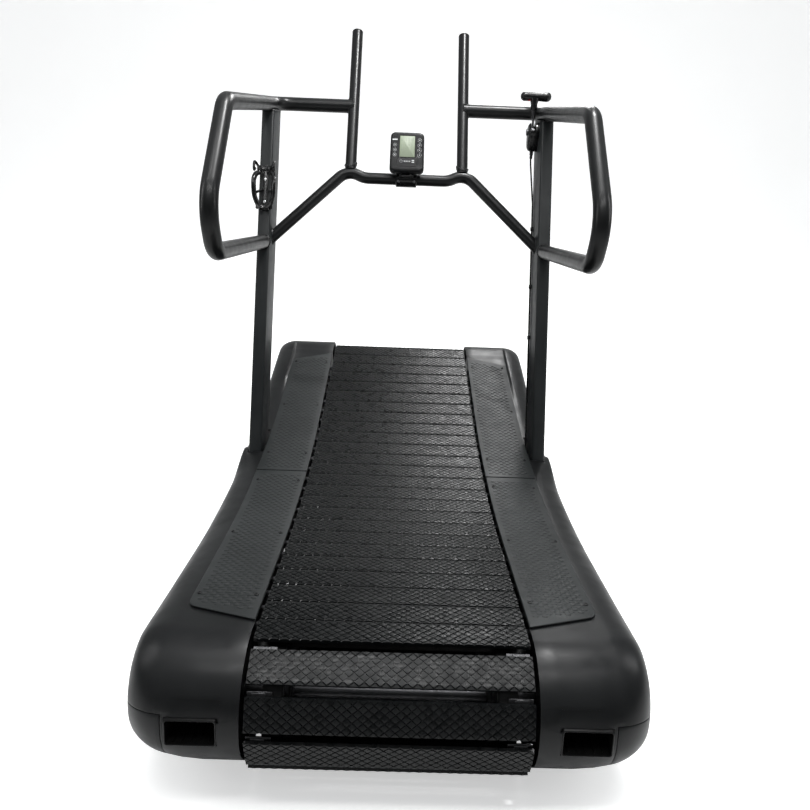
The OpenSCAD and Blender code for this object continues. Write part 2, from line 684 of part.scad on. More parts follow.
module push_horn() difference() {
    horn_blank(bar_r, horn_low[1], horn_top);
    horn_blank(bar_r - tube_t, horn_low[1] - 10, horn_top + 10);
    translate([horn_x, horn_low[0], horn_low[1]]) rotate([-post_lean, 0, 0]) rotate([0, 24, 0])
        translate([-60, 0, 0]) rotate([0, 90, 0]) cylinder(r = bar_r + 0.6, h = 120);
}

module left_handrail() color([0.06, 0.062, 0.065]) mirror([1, 0, 0]) handrail();
module right_handrail() color([0.06, 0.062, 0.065]) handrail();
module left_push_horn() color([0.06, 0.062, 0.065]) mirror([1, 0, 0]) push_horn();
module right_push_horn() color([0.06, 0.062, 0.065]) push_horn();

module horn_caps() color([0.03, 0.03, 0.03]) both_sides() {
    a = horn_at(horn_top);
    translate(a) rotate([-horn_lean, 0, 0]) {
        translate([0, 0, 0.1]) cylinder(r1 = bar_r, r2 = bar_r - 3, h = 4);
        translate([0, 0, -9]) cylinder(r = bar_r - tube_t - 0.1, h = 9.2);
    }
}

// point of the lower crossbar's leaning plane at [x, z]
function lean_pt(x, z) = [x, post_y(z), z];
crossbar_pts = [lean_pt(-385, 812), lean_pt(-horn_x - 8, 1006), lean_pt(-122, 985), lean_pt(122, 985),
    lean_pt(horn_x + 8, 1006), lean_pt(385, 812)];

module lower_crossbar() color([0.06, 0.062, 0.065]) intersection() {
    bent_tube(rounded(crossbar_pts, [50, 70, 70, 50]), [0, 1, 0], bar_r, tube_t, 18);
    translate([-post_x + post_w / 2 + 0.05, 0, 700]) cube([2 * (post_x - post_w / 2 - 0.05), 800, 500]);
}

// ---- resistance lever ----

lever_z = 1128;
lever_y = post_y(lever_z);
housing_x0 = 350;
housing_x1 = post_x - post_w / 2 - 0.1;
housing_r = 27;

function teardrop(r, h) = concat([for (i = [0:20]) r * dir(-30 + 240 * i / 20)], [[-9, -h], [9, -h]]);

module lever_housing() color([0.03, 0.03, 0.032]) translate([0, lever_y, lever_z]) difference() {
    yz_slab(teardrop(housing_r, 52), housing_x0, housing_x1 - housing_x0);
    yz_slab(teardrop(housing_r - 3, 46), housing_x0 + 3, housing_x1 - housing_x0 - 6);
    translate([housing_x0 + 7, -26, 4]) cube([12, 44, 40]);
    x_cyl(5.05, housing_x0 - 1, housing_x1 + 1, [0, 0]);
    translate([366, 0, -60]) cylinder(r = 3, h = 30);
}

module lever_pivot() {
    x_cyl(5, housing_x0 - 1, post_out + 6, [lever_y, lever_z]);
    x_cyl(8, post_out, post_out + 7, [lever_y, lever_z]);
    x_cyl(9, housing_x0 - 4, housing_x0 - 0.1, [lever_y, lever_z]);
}

module pivot_pins() color([0.55, 0.55, 0.57]) {
    wheel_axles();
    brake_pivot_pin();
    lever_pivot();
}

stem_lean = 8;
stem_h = 98;
module resistance_lever() color([0.5, 0.5, 0.52]) translate([0, lever_y, lever_z]) difference() {
    union() {
        x_cyl(14, 358, 368, [0, 0]);
        translate([363, 0, 0]) rotate([-stem_lean, 0, 0]) {
            translate([-2.5, -6, 0]) cube([5, 12, 40]);
            translate([0, 0, 38]) cylinder(r = 6, h = stem_h - 52);
        }
    }
    x_cyl(5.05, 350, 380, [0, 0]);
}

module lever_grip() color([0.02, 0.02, 0.02]) {
    grip_bar();
    grip_ends();
}

module grip_bar() translate([363, lever_y, lever_z]) rotate([-stem_lean, 0, 0]) difference() {
    union() {
        translate([4, 0, stem_h]) rotate([0, 90, 0]) translate([0, 0, -31]) cylinder(r = 13, h = 62);
        translate([0, 0, stem_h - 26]) cylinder(r1 = 9, r2 = 12, h = 20);
    }
    translate([0, 0, 30]) cylinder(r = 6, h = stem_h - 44);
}

module grip_ends() translate([363, lever_y, lever_z]) rotate([-stem_lean, 0, 0])
    for (s = [-1, 1]) translate([4 + s * 31.1, 0, stem_h]) intersection() {
        sphere(r = 13);
        translate([s > 0 ? 0 : -20, -20, -20]) cube([20, 40, 40]);
    }

// ---- resistance cable ----

cable_x = post_x - post_w / 2 - 3.4;
cable_r = 2.5;
function cable_pt(z, d) = [cable_x, post_y(z) + d, z];
cable_up = rounded([[366, lever_y, lever_z - 46], [366, lever_y + 4, lever_z - 78],
    cable_pt(930, 34), cable_pt(238, 34),
    [350, 260, 210], [330, 440, 300], [330, 545, 300]], [60, 60, 40, 60, 60]);

module resistance_cable() color([0.02, 0.02, 0.02]) bent_rod(cable_up, [1, 0, 0], cable_r, 8);

module cable_clips() color([0.03, 0.03, 0.03]) for (z = [560, 700, 860]) translate([0, post_y(z) + 34, z])
    rotate([-post_lean, 0, 0]) difference() {
        translate([cable_x - 4.5, -6, -5]) cube([7.7, 12, 10]);
        translate([cable_x, 0, -6]) cylinder(r = cable_r + 0.2, h = 12);
    }

// ---- bottle cage ----

cage_bolt_z = [for (s = [-32, 32]) 942 + s * cos(post_lean)];
cage_r = 27.5;

module on_post_back(z) translate([-post_x + 1, post_y(z) - post_d / 2 / cos(post_lean), z])
    rotate([-post_lean, 0, 0])
    children();

module bottle_cage() color([0.02, 0.02, 0.02]) on_post_back(942) {
    difference() {
        translate([-8, -4.1, -64]) cube([16, 4, 132]);
        for (z = [-32, 32]) translate([0, 1, z]) rotate([90, 0, 0]) cylinder(r = 2.7, h = 8);
    }
    for (z = [-50, 8, 52]) translate([0, -3 - cage_r, z]) rotate([0, 0, z == 8 ? -48 : -60])
        rotate_extrude(angle = z == 8 ? 276 : 300) translate([cage_r, 0]) square([3.5, 9], center = true);
}

module cage_bolts() color([0.75, 0.75, 0.77]) on_post_back(942) for (z = [-32, 32]) translate([0, -4.3, z])
    rotate([90, 0, 0]) {
        cylinder(r = 4.5, h = 3);
        translate([0, 0, -14]) cylinder(r = 2.5, h = 14);
    }

// ---- console ----

console_c = [0, post_y(985), 985];
module console_place() translate([0, console_c[1] - 19, console_c[2] + 6])
    rotate([-console_lean, 0, 0]) children();

module console_body() color([0.02, 0.02, 0.022]) console_place() difference() {
    union() {
        translate([0, -22, 4]) rotate([90, 0, 0]) linear_extrude(console_t, center = true)
            console_face(console_w, console_h, 12);
        for (x = [-20.3, 15.3]) x_cyl(7.5, x, x + 5, [-22 + console_t / 2 - 1, 0]);
    }
    translate([-21.8, -22 - console_t / 2 - 1, 44.8]) cube([43.6, 3, 63.6]);
    for (p = key_at) translate([p[0], -22 - console_t / 2 - 1, p[1]])
        rotate([-90, 0, 0]) cylinder(r = 3.4, h = 5);
    x_cyl(4.05, -28, 28, [-22 + console_t / 2 - 1, 0]);
    translate([-15, -22 + console_t / 2 - 9, -6]) cube([30, 10, 16]);
}

// rounded rectangle that stands on y = 0
module console_face(w, h, r) {
    polygon(concat(
        [for (a = [270:15:360]) [w / 2 - r + r * cos(a), r + r * sin(a)]],
        [for (a = [0:15:90]) [w / 2 - r - 1.5 + r * cos(a), h - r + r * sin(a)]],
        [for (a = [90:15:180]) [-w / 2 + r + 1.5 + r * cos(a), h - r + r * sin(a)]],
        [for (a = [180:15:270]) [-w / 2 + r + r * cos(a), r + r * sin(a)]]));
}

key_at = [for (i = [0:3]) [35, 52 + 14.5 * i]];

module console_screen() color([0.55, 0.6, 0.52, 0.9]) console_place()
    translate([-21.5, -22 - console_t / 2 + 0.4, 45.1]) cube([43, 1.5, 63]);

module one_key(i) color([0.3, 0.3, 0.3]) console_place()
    translate([key_at[i][0], -22 - console_t / 2 - 1, key_at[i][1]])
        rotate([-90, 0, 0]) cylinder(r = 3, h = 3);

module console_key_1() one_key(0);
module console_key_2() one_key(1);
module console_key_3() one_key(2);
module console_key_4() one_key(3);

module console_bracket() color([0.03, 0.03, 0.03]) {
    console_pivot();
    translate([0, console_c[1], console_c[2]]) difference() {
        union() {
            x_cyl(bar_r + 5, -30, 30, [0, 0]);
            translate([-13, -27, 3]) cube([26, 16, 13]);
        }
        x_cyl(bar_r + 0.2, -31, 31, [0, 0]);
    }
    console_place() translate([-14, -22 + console_t / 2 - 1, 0]) rotate([90, 0, 90]) difference() {
        cylinder(r = 7, h = 28);
        translate([0, 0, -1]) cylinder(r = 4.05, h = 30);
    }
}

module console_pivot() console_place() x_cyl(4, -26, 26, [-22 + console_t / 2 - 1, 0]);

base_rails();
base_crossmembers();
side_brackets();
feet();
left_transport_wheel();
right_transport_wheel();
left_side_plate();
right_side_plate();
deck_ties();
deck_fasteners();
track_bearings();
bearing_housings();
shaft_bearings();
slat_treads();
slat_bars();
drive_belts();
rear_pulleys();
front_pulleys();
rear_shaft();
front_shaft();
brake_disc();
brake_arm();
brake_magnets();
left_rear_cover();
right_rear_cover();
left_front_cover();
right_front_cover();
left_end_cap();
right_end_cap();
pocket_liners();
left_rear_step();
right_rear_step();
left_front_step();
right_front_step();
step_screws();
left_upright();
right_upright();
upright_bolts();
left_handrail();
right_handrail();
left_push_horn();
right_push_horn();
horn_caps();
lower_crossbar();
lever_housing();
pivot_pins();
resistance_lever();
lever_grip();
resistance_cable();
cable_clips();
bottle_cage();
cage_bolts();
console_body();
console_screen();
console_key_1();
console_key_2();
console_key_3();
console_key_4();
console_bracket();
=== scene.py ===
"""Looks of a curved manual treadmill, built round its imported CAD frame.

Lengths are metres. +Y is the running direction, +X the runner's right, +Z up.
"""
import json
from math import asin, atan2, cos, pi, radians, sin, sqrt, tan

import bmesh
import bpy
from mathutils import Matrix, Vector

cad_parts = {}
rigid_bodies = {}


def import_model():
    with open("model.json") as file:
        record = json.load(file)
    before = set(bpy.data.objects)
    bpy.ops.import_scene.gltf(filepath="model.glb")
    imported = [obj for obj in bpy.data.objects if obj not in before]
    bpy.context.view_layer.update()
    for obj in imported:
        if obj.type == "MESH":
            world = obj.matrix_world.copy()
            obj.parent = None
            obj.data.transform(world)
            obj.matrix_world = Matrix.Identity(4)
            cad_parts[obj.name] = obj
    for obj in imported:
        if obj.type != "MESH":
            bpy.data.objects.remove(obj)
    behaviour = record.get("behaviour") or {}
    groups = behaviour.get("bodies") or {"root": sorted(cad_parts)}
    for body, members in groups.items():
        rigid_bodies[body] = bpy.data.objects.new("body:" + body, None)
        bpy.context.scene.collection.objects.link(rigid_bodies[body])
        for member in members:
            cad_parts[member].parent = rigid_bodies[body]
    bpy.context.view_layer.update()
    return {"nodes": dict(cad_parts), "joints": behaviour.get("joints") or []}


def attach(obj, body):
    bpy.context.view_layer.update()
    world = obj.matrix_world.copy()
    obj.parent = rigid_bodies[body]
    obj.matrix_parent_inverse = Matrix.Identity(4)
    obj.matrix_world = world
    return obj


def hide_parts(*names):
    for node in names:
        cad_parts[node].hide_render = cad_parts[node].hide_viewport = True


for leftover in list(bpy.data.objects):
    bpy.data.objects.remove(leftover)

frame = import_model()
IN_SCENE = bpy.context.scene.collection.objects

# ---- sizes of the design ----

joint_at = {j["name"]: j.get("pos_m") for j in frame["joints"]}
REAR_C = Vector(joint_at["rear_axle_spin"][1:])
FRONT_C = Vector(joint_at["front_axle_spin"][1:])
LEVER_C = Vector(joint_at["resistance_lever_swing"])
CONSOLE_PIVOT = Vector(joint_at["console_tilt"])

# belt and deck curve
ROLL_R = 0.122
DIP_R = 2.350
REAR_FALL = radians(5)
FRONT_RISE = radians(13.9)
SLAT_T = 0.025
SLAT_PITCH = 0.060
TREAD_W = 0.055
TREAD_BASE = 0.0172
BELT_W = 0.460

# foot plates
INNER_X = 0.238
STEP_X = 0.370
STEP_T = 0.004
STEP_SINK = 0.0029
STEP_REAR = -0.700
STEP_FRONT = 0.655
SEAM_Y = -0.037
STEP_MARGIN_IN = 0.010
STEP_MARGIN_OUT = 0.020

# covers and their grip pockets
OUTER_X = 0.434
TOP_DROP = 0.0035
COVER_T = 0.003
COVER_LOW = 0.028
COVER_SPLIT = 0.104
SHOULDER = 0.038
POCKET_X = (0.273, 0.357)
POCKET_Z = (0.153, 0.200)
BEHIND_Y = -0.900

# uprights, handrails, push bars and crossbar; _AT and _LOW are (y, z)
POST_X = 0.397
POST_W = 0.035
POST_D = 0.105
POST_LEAN = radians(21.06)
POST_AT = (0.138, 0.285)
BASE_X = 0.3349
RAIL_R = 0.019
RAIL_AT = (0.440, 1.178)
RAIL_RISE = 0.0625
BAR_R = 0.016
BAR_Z = 0.985
BAR_SHOULDER_Z = 1.006
BAR_END = (0.385, 0.812)
HORN_X = 0.162
HORN_LOW = (0.414, 1.005)
HORN_LEAN = radians(32)
HORN_TOP = 1.398

# lever, cable, console and bottle cage
LEVER_X = 0.363
STEM_LEAN = radians(8)
STEM_H = 0.098
CABLE_X = 0.366
CONSOLE_LEAN = radians(24)
CAGE_MID_Z = 0.942
CAGE_R = 0.0275

# radius at a lathe's pole, and the gap between faces that would touch
POLE = 0.0001
GAP = 0.0001


def direction(angle):
    """Unit vector in the YZ plane, angle from +Y."""
    return Vector((cos(angle), sin(angle)))


def ease(t):
    """Smooth step from 0 to 1."""
    c = min(1.0, max(0.0, t))
    return c * c * (3 - 2 * c)


# ---- deck curve ----

REAR_TOP = REAR_C + ROLL_R * direction(pi / 2 - REAR_FALL)
FRONT_TOP = FRONT_C + ROLL_R * direction(pi / 2 + FRONT_RISE)
REAR_DIR = direction(-REAR_FALL)
FRONT_DIR = direction(FRONT_RISE)


def cross2(a, b):
    return a.x * b.y - a.y * b.x


MEET = REAR_TOP + REAR_DIR * (cross2(FRONT_TOP - REAR_TOP, FRONT_DIR) / cross2(REAR_DIR, FRONT_DIR))
DIP_TAN = DIP_R * tan((REAR_FALL + FRONT_RISE) / 2)
DIP_START = MEET - DIP_TAN * REAR_DIR
DIP_END = MEET + DIP_TAN * FRONT_DIR
DIP_C = DIP_START + DIP_R * direction(pi / 2 - REAR_FALL)
RETURN_A = atan2(FRONT_C.y - REAR_C.y, FRONT_C.x - REAR_C.x)
PATH_R = ROLL_R - SLAT_T

LEGS = [
    (REAR_TOP - DIP_START).length,
    (DIP_R + SLAT_T) * (REAR_FALL + FRONT_RISE),
    (FRONT_TOP - DIP_END).length,
    PATH_R * (pi + FRONT_RISE - RETURN_A),
    (FRONT_C - REAR_C).length,
    PATH_R * (pi + RETURN_A + REAR_FALL),
]


def deck_z(y):
    """Height of the running surface."""
    if y < REAR_TOP.x:
        return REAR_C.y + sqrt(max(0.0, ROLL_R ** 2 - (y - REAR_C.x) ** 2))
    if y < DIP_START.x:
        return REAR_TOP.y - tan(REAR_FALL) * (y - REAR_TOP.x)
    if y < DIP_END.x:
        return DIP_C.y - sqrt(DIP_R ** 2 - (y - DIP_C.x) ** 2)
    if y < FRONT_TOP.x:
        return DIP_END.y + tan(FRONT_RISE) * (y - DIP_END.x)
    return FRONT_C.y + sqrt(max(0.0, ROLL_R ** 2 - (y - FRONT_C.x) ** 2))


def deck_slope(y):
    return atan2(deck_z(y + 0.001) - deck_z(y - 0.001), 0.002)


def on_loop(s):
    """(point, angle) of the slat belt's centre line, s metres on from the rear tangent point."""
    s %= sum(LEGS)
    leg = 0
    while s > LEGS[leg]:
        s -= LEGS[leg]
        leg += 1
    if leg in (0, 2):
        start, angle = ((REAR_TOP, -REAR_FALL), None, (DIP_END, FRONT_RISE))[leg]
        return start + s * direction(angle) - SLAT_T * direction(angle + pi / 2), angle
    if leg == 1:
        angle = s / (DIP_R + SLAT_T) - REAR_FALL
        return DIP_C + (DIP_R + SLAT_T) * direction(angle - pi / 2), angle
    if leg == 4:
        return FRONT_C + PATH_R * direction(RETURN_A - pi / 2) - s * direction(RETURN_A), RETURN_A + pi
    centre, first = (FRONT_C, pi / 2 + FRONT_RISE) if leg == 3 else (REAR_C, 1.5 * pi + RETURN_A)
    angle = first - s / PATH_R
    return centre + PATH_R * direction(angle), angle - pi / 2


def post_y(z):
    """Middle of an upright at height z."""
    return POST_AT[0] + tan(POST_LEAN) * (z - POST_AT[1])


def top_run(y):
    """Height of the handrails' upper run."""
    return RAIL_AT[1] + RAIL_RISE * (y - RAIL_AT[0])


def horn_at(z):
    return Vector((HORN_X, HORN_LOW[0] + tan(HORN_LEAN) * (z - HORN_LOW[1]), z))


# ---- materials ----


def put(node, **values):
    """Sets inputs of a node. Underscores stand for the spaces in their names."""
    for name, value in values.items():
        node.inputs[name.replace("_", " ")].default_value = value


class Shader:
    """A node material under construction."""

    def __init__(self, name, color, roughness, metallic=0.0, **sockets):
        self.material = bpy.data.materials.new(name)
        self.material.use_nodes = True
        self.nodes = self.material.node_tree.nodes
        self.link = self.material.node_tree.links.new
        self.surface = self.nodes["Principled BSDF"]
        self.color = (*color, 1.0)
        put(self.surface, Base_Color=self.color, Roughness=roughness, Metallic=metallic, **sockets)
        self.coords = self.nodes.new("ShaderNodeTexCoord").outputs["Object"]

    def noise(self, scale, detail=3.0, stretch=(1, 1, 1)):
        mapping = self.nodes.new("ShaderNodeMapping")
        texture = self.nodes.new("ShaderNodeTexNoise")
        put(mapping, Scale=stretch)
        put(texture, Scale=scale, Detail=detail)
        self.link(self.coords, mapping.inputs["Vector"])
        self.link(mapping.outputs["Vector"], texture.inputs["Vector"])
        return texture.outputs["Fac"]

    def pebbles(self, scale):
        texture = self.nodes.new("ShaderNodeTexVoronoi")
        put(texture, Scale=scale)
        self.link(self.coords, texture.inputs["Vector"])
        return texture.outputs["Distance"]

    def spread(self, value, low, high, start=0.3, stop=0.7):
        """value mapped from start..stop to low..high."""
        node = self.nodes.new("ShaderNodeMapRange")
        put(node, From_Min=start, From_Max=stop, To_Min=low, To_Max=high)
        self.link(value, node.inputs["Value"])
        return node.outputs["Result"]

    def roughen(self, value, low, high):
        self.link(self.spread(value, low, high), self.surface.inputs["Roughness"])

    def tint(self, value, other, start=0.35, stop=0.7):
        """Base colour varies towards other where value is high."""
        mix = self.nodes.new("ShaderNodeMix")
        mix.data_type = "RGBA"
        put(mix, A=self.color, B=(*other, 1.0))
        self.link(self.spread(value, 0.0, 1.0, start, stop), mix.inputs["Factor"])
        self.link(mix.outputs["Result"], self.surface.inputs["Base Color"])

    def relief(self, value, depth, strength):
        """Adds a bump of that depth in metres."""
        node = self.nodes.new("ShaderNodeBump")
        put(node, Distance=depth, Strength=strength)
        self.link(value, node.inputs["Height"])
        self.link(node.outputs["Normal"], self.surface.inputs["Normal"])


def powder_coat(name, color, roughness):
    shader = Shader(name, color, roughness, Specular_IOR_Level=0.24)
    lighter = tuple(c * 1.4 + 0.001 for c in color)
    shader.tint(shader.noise(9, 5), lighter)
    shader.roughen(shader.noise(40, 4), roughness - 0.03, roughness + 0.05)
    shader.relief(shader.noise(900, 2), 0.000005, 0.5)
    return shader.material


def moulded(name, color, roughness, grain=1500, depth=0.00012, spread=0.1, specular=0.22):
    """Moulded plastic with a fine grain."""
    shader = Shader(name, color, roughness, Specular_IOR_Level=specular)
    lighter = tuple(c * 1.35 + 0.0008 for c in color)
    shader.tint(shader.noise(6, 6), lighter)
    shader.roughen(shader.noise(25, 6), roughness - spread / 2, roughness + spread)
    shader.relief(shader.pebbles(grain), depth, 0.6)
    return shader.material


def rubber(name, color, roughness, dust=(0.02, 0.021, 0.02)):
    shader = Shader(name, color, roughness, Specular_IOR_Level=0.22)
    shader.tint(shader.noise(14, 8), dust, 0.5, 0.85)
    shader.roughen(shader.noise(60, 5), roughness - 0.1, roughness + 0.14)
    shader.relief(shader.noise(700, 3), 0.00004, 0.7)
    return shader.material


def metal(name, color, roughness, stretch=(1, 1, 1)):
    shader = Shader(name, color, roughness, 1.0)
    darker = tuple(c * 0.7 for c in color)
    shader.tint(shader.noise(20, 6), darker, 0.45, 0.8)
    shader.roughen(shader.noise(160, 4, stretch), roughness - 0.08, roughness + 0.12)
    shader.relief(shader.noise(800, 2, stretch), 0.00006, 0.5)
    return shader.material


LOOKS = (
    ("frame_paint", powder_coat, (0.005, 0.005, 0.0052), 0.42),
    ("post_paint", powder_coat, (0.0080, 0.0092, 0.0096), 0.40),
    ("bar_paint", powder_coat, (0.0026, 0.0028, 0.0030), 0.32),
    ("steel", metal, (0.10, 0.10, 0.105), 0.40),
    ("bearing_steel", metal, (0.62, 0.62, 0.63), 0.25),
    ("disc_aluminium", metal, (0.76, 0.77, 0.79), 0.28, (1, 8, 8)),
    ("slat_metal", powder_coat, (0.0015, 0.0015, 0.0016), 0.14),
    ("tread_rubber", rubber, (0.0026, 0.0030, 0.0032), 0.30, (0.0055, 0.0060, 0.0060)),
    ("belt_rubber", rubber, (0.006, 0.006, 0.006), 0.6),
    ("cover_plastic", moulded, (0.0034, 0.0037, 0.0040), 0.33, 1400, 0.00004),
    ("step_plastic", moulded, (0.0125, 0.0140, 0.0142), 0.40, 900, 0.00008),
    ("pocket_plastic", moulded, (0.0010, 0.0010, 0.0010), 0.4),
    ("foot_rubber", rubber, (0.006, 0.006, 0.006), 0.6),
    ("cap_plastic", moulded, (0.0035, 0.0035, 0.0035), 0.35),
    ("lever_plastic", moulded, (0.0022, 0.0022, 0.0024), 0.22, 2200, 0.00005, 0.08, 0.35),
    ("lever_metal", metal, (0.06, 0.06, 0.062), 0.32, (6, 6, 1)),
    ("cable_sheath", rubber, (0.003, 0.003, 0.003), 0.22, (0.006, 0.006, 0.006)),
    ("cage_plastic", moulded, (0.0016, 0.0016, 0.0018), 0.16, 2500, 0.00004, 0.08, 0.35),
    ("console_plastic", moulded, (0.0030, 0.0031, 0.0034), 0.3, 2600, 0.00006),
    ("lcd", moulded, (0.165, 0.192, 0.138), 0.40, 4000, 0.00001, 0.04, 0.2),
    ("key_rubber", rubber, (0.008, 0.008, 0.0085), 0.4),
)
MATERIALS = {name: kind(name, *look) for name, kind, *look in LOOKS}
RED = moulded("red_insert", (0.35, 0.01, 0.012), 0.35)
MARKING = moulded("white_marking", (0.42, 0.43, 0.43), 0.4)
SEGMENT = moulded("lcd_segment", (0.15, 0.175, 0.14), 0.2)


# ---- mesh helpers ----


def new_object(name, verts, faces):
    mesh = bpy.data.meshes.new(name)
    mesh.from_pydata([tuple(v) for v in verts], [], faces)
    mesh.update()
    obj = bpy.data.objects.new(name, mesh)
    IN_SCENE.link(obj)
    return obj


def joined(name, parts):
    """One object made of (verts, faces) parts."""
    verts = []
    faces = []
    for part_verts, part_faces in parts:
        base = len(verts)
        verts.extend(part_verts)
        faces.extend([base + i for i in face] for face in part_faces)
    return new_object(name, verts, faces)


def apply_modifiers(obj):
    bpy.context.view_layer.update()
    depsgraph = bpy.context.evaluated_depsgraph_get()
    mesh = bpy.data.meshes.new_from_object(obj.evaluated_get(depsgraph))
    obj.modifiers.clear()
    obj.data = mesh


def solid(name, *parts):
    """One object of (verts, faces) parts, every face pointing outward."""
    obj = joined(name, parts)
    outward(obj)
    return obj


def boolean(obj, part, operation="DIFFERENCE"):
    """Cuts a (verts, faces) part out of an object, or does the other operation named."""
    tool = solid("cutter", part)
    modifier = obj.modifiers.new("boolean", "BOOLEAN")
    modifier.operation = operation
    modifier.solver = "EXACT"
    modifier.object = tool
    apply_modifiers(obj)
    bpy.data.objects.remove(tool)


def bevel(obj, width, segments=2, angle=40):
    modifier = obj.modifiers.new("bevel", "BEVEL")
    modifier.width = width
    modifier.segments = segments
    modifier.limit_method = "ANGLE"
    modifier.angle_limit = radians(angle)
    modifier.miter_outer = "MITER_ARC"
    apply_modifiers(obj)


def outward(obj):
    """Makes every face point outward."""
    mesh = bmesh.new()
    mesh.from_mesh(obj.data)
    bmesh.ops.remove_doubles(mesh, verts=mesh.verts, dist=1e-6)
    bmesh.ops.recalc_face_normals(mesh, faces=mesh.faces)
    mesh.to_mesh(obj.data)
    mesh.free()


def piece(obj, slot, body="base", angle=38, replaces=(), material=None):
    """Finishes a visible piece: shading, the material named by its slot, body and the CAD nodes it stands
    for.
    """
    obj.data.materials.clear()
    obj.data.materials.append(material or MATERIALS[slot])
    obj.data.polygons.foreach_set("use_smooth", [True] * len(obj.data.polygons))
    obj.data.set_sharp_from_angle(angle=radians(angle))
    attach(obj, body)
    if replaces:
        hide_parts(*replaces)
    return obj


def mirrored(obj):
    """The same mesh on the other side of the machine."""
    copy = obj.copy()
    copy.data = obj.data.copy()
    copy.data.transform(Matrix.Scale(-1, 4, (1, 0, 0)))
    copy.data.flip_normals()
    copy.name = obj.name.replace("right", "left")
    IN_SCENE.link(copy)
    return copy


def both_sides(obj, slot, angle=38, node=None, shared=()):
    """A right-hand piece and its mirror image. The right one stands for the shared nodes."""
    other = mirrored(obj)
    for side, item in (("right", obj), ("left", other)):
        replaced = [f"{side}_{node}"] if node else (shared if item is obj else ())
        piece(item, slot, angle=angle, replaces=replaced)


def box(x0, x1, y0, y1, z0, z1):
    verts = [Vector((x, y, z)) for z in (z0, z1) for y in (y0, y1) for x in (x0, x1)]
    faces = [[0, 2, 3, 1], [4, 5, 7, 6], [0, 1, 5, 4], [2, 6, 7, 3], [0, 4, 6, 2], [1, 3, 7, 5]]
    return verts, faces


def loft(rings, closed=False):
    """Skin over rings of equally many points, with a cap at each end unless it is closed."""
    count = len(rings[0])
    verts = [p for ring in rings for p in ring]
    faces = []
    for i in range(len(rings) if closed else len(rings) - 1):
        a = i * count
        b = (i + 1) % len(rings) * count
        faces += [[a + k, a + (k + 1) % count, b + (k + 1) % count, b + k] for k in range(count)]
    if not closed:
        faces += [list(range(count))[::-1], list(range(len(verts) - count, len(verts)))]
    return verts, faces


def turns(steps):
    """Evenly spaced angles of one full turn."""
    return [2 * pi * i / steps for i in range(steps)]


def circle(radius, sides):
    return [(radius * cos(a), radius * sin(a)) for a in turns(sides)]


def rounded_rect(width, depth, radius, steps=5):
    points = []
    for quarter, (sx, sy) in enumerate(((1, 1), (-1, 1), (-1, -1), (1, -1))):
        cx = sx * (width / 2 - radius)
        cy = sy * (depth / 2 - radius)
        for i in range(steps + 1):
            a = (quarter + i / steps) * pi / 2
            points.append((cx + radius * cos(a), cy + radius * sin(a)))
    return points


def rounded_path(points, radii, steps=12):
    """Polyline with each inner corner replaced by an arc."""
    points = [Vector(p) for p in points]
    out = [points[0]]
    for before, corner, after, radius in zip(points, points[1:], points[2:], radii):
        u = (corner - before).normalized()
        v = (after - corner).normalized()
        turn = u.angle(v)
        side = (v - u.dot(v) * u).normalized()
        start = corner - radius * tan(turn / 2) * u
        for i in range(steps + 1):
            b = turn * i / steps
            out.append(start + radius * sin(b) * u + radius * (1 - cos(b)) * side)
    return out + [points[-1]]


def smooth_path(points, steps=8):
    """Catmull-Rom curve through the points."""
    points = [Vector(p) for p in points]
    ends = [2 * points[0] - points[1]] + points + [2 * points[-1] - points[-2]]
    out = []
    for a, b, c, d in zip(ends, ends[1:], ends[2:], ends[3:]):
        for i in range(steps):
            t = i / steps
            out.append(0.5 * (2 * b + (c - a) * t + (2 * a - 5 * b + 4 * c - d) * t * t
                              + (3 * b - a - 3 * c + d) * t ** 3))
    return out + [points[-1]]


def sweep(path, profile, normal=(0, 0, 1), scale=None, closed=False):
    """Profile carried along a path. scale(i) changes its size."""
    normal = Vector(normal)
    rings = []
    count = len(path)
    for i, point in enumerate(path):
        if closed:
            tangent = (path[(i + 1) % count] - path[i - 1]).normalized()
        else:
            tangent = (path[min(i + 1, count - 1)] - path[max(i - 1, 0)]).normalized()
        normal = (normal - normal.dot(tangent) * tangent).normalized()
        side = tangent.cross(normal)
        size = scale(i) if scale else 1.0
        rings.append([point + size * (a * normal + b * side) for a, b in profile])
    return loft(rings, closed)


def lathe(profile, sides=48, radial=None):
    """(radius, height) outline turned round Z. radial(ring, angle) scales a ring's radius."""
    rings = []
    for index, (radius, height) in enumerate(profile):
        spokes = [(radius * (radial(index, a) if radial else 1.0), a) for a in turns(sides)]
        rings.append([Vector((r * cos(a), r * sin(a), height)) for r, a in spokes])
    return loft(rings)


def placed(part, matrix):
    verts, faces = part
    return [matrix @ Vector(v) for v in verts], faces


def toward(point, axis):
    """Matrix that puts +Z along axis at point."""
    return Matrix.Translation(point) @ Vector(axis).to_track_quat("Z", "Y").to_matrix().to_4x4()


def leaning(point, angle):
    """Matrix that tilts by angle about X and moves to point."""
    return Matrix.Translation(point) @ Matrix.Rotation(angle, 4, "X")


def turned(profile, point, axis, sides=48, radial=None):
    """A lathed shape that stands at point, along axis."""
    return placed(lathe(profile, sides, radial), toward(point, axis))


def prism(outline, x0, x1):
    """YZ outline extruded along X."""
    return loft([[Vector((x, y, z)) for y, z in outline] for x in (x0, x1)])


def bead(path, radius=0.0022):
    """Weld bead along a closed path, with its ripples."""
    return sweep(path, circle(radius, 8), (0.3, 0.5, 0.8), lambda i: 1 + 0.22 * sin(i * 1.9), True)


def hexed(rings):
    """Radial law that turns the numbered lathe rings into hexagons."""
    def law(index, angle):
        return 1 / cos((angle + pi / 6) % (pi / 3) - pi / 6) if index in rings else 1.0
    return law


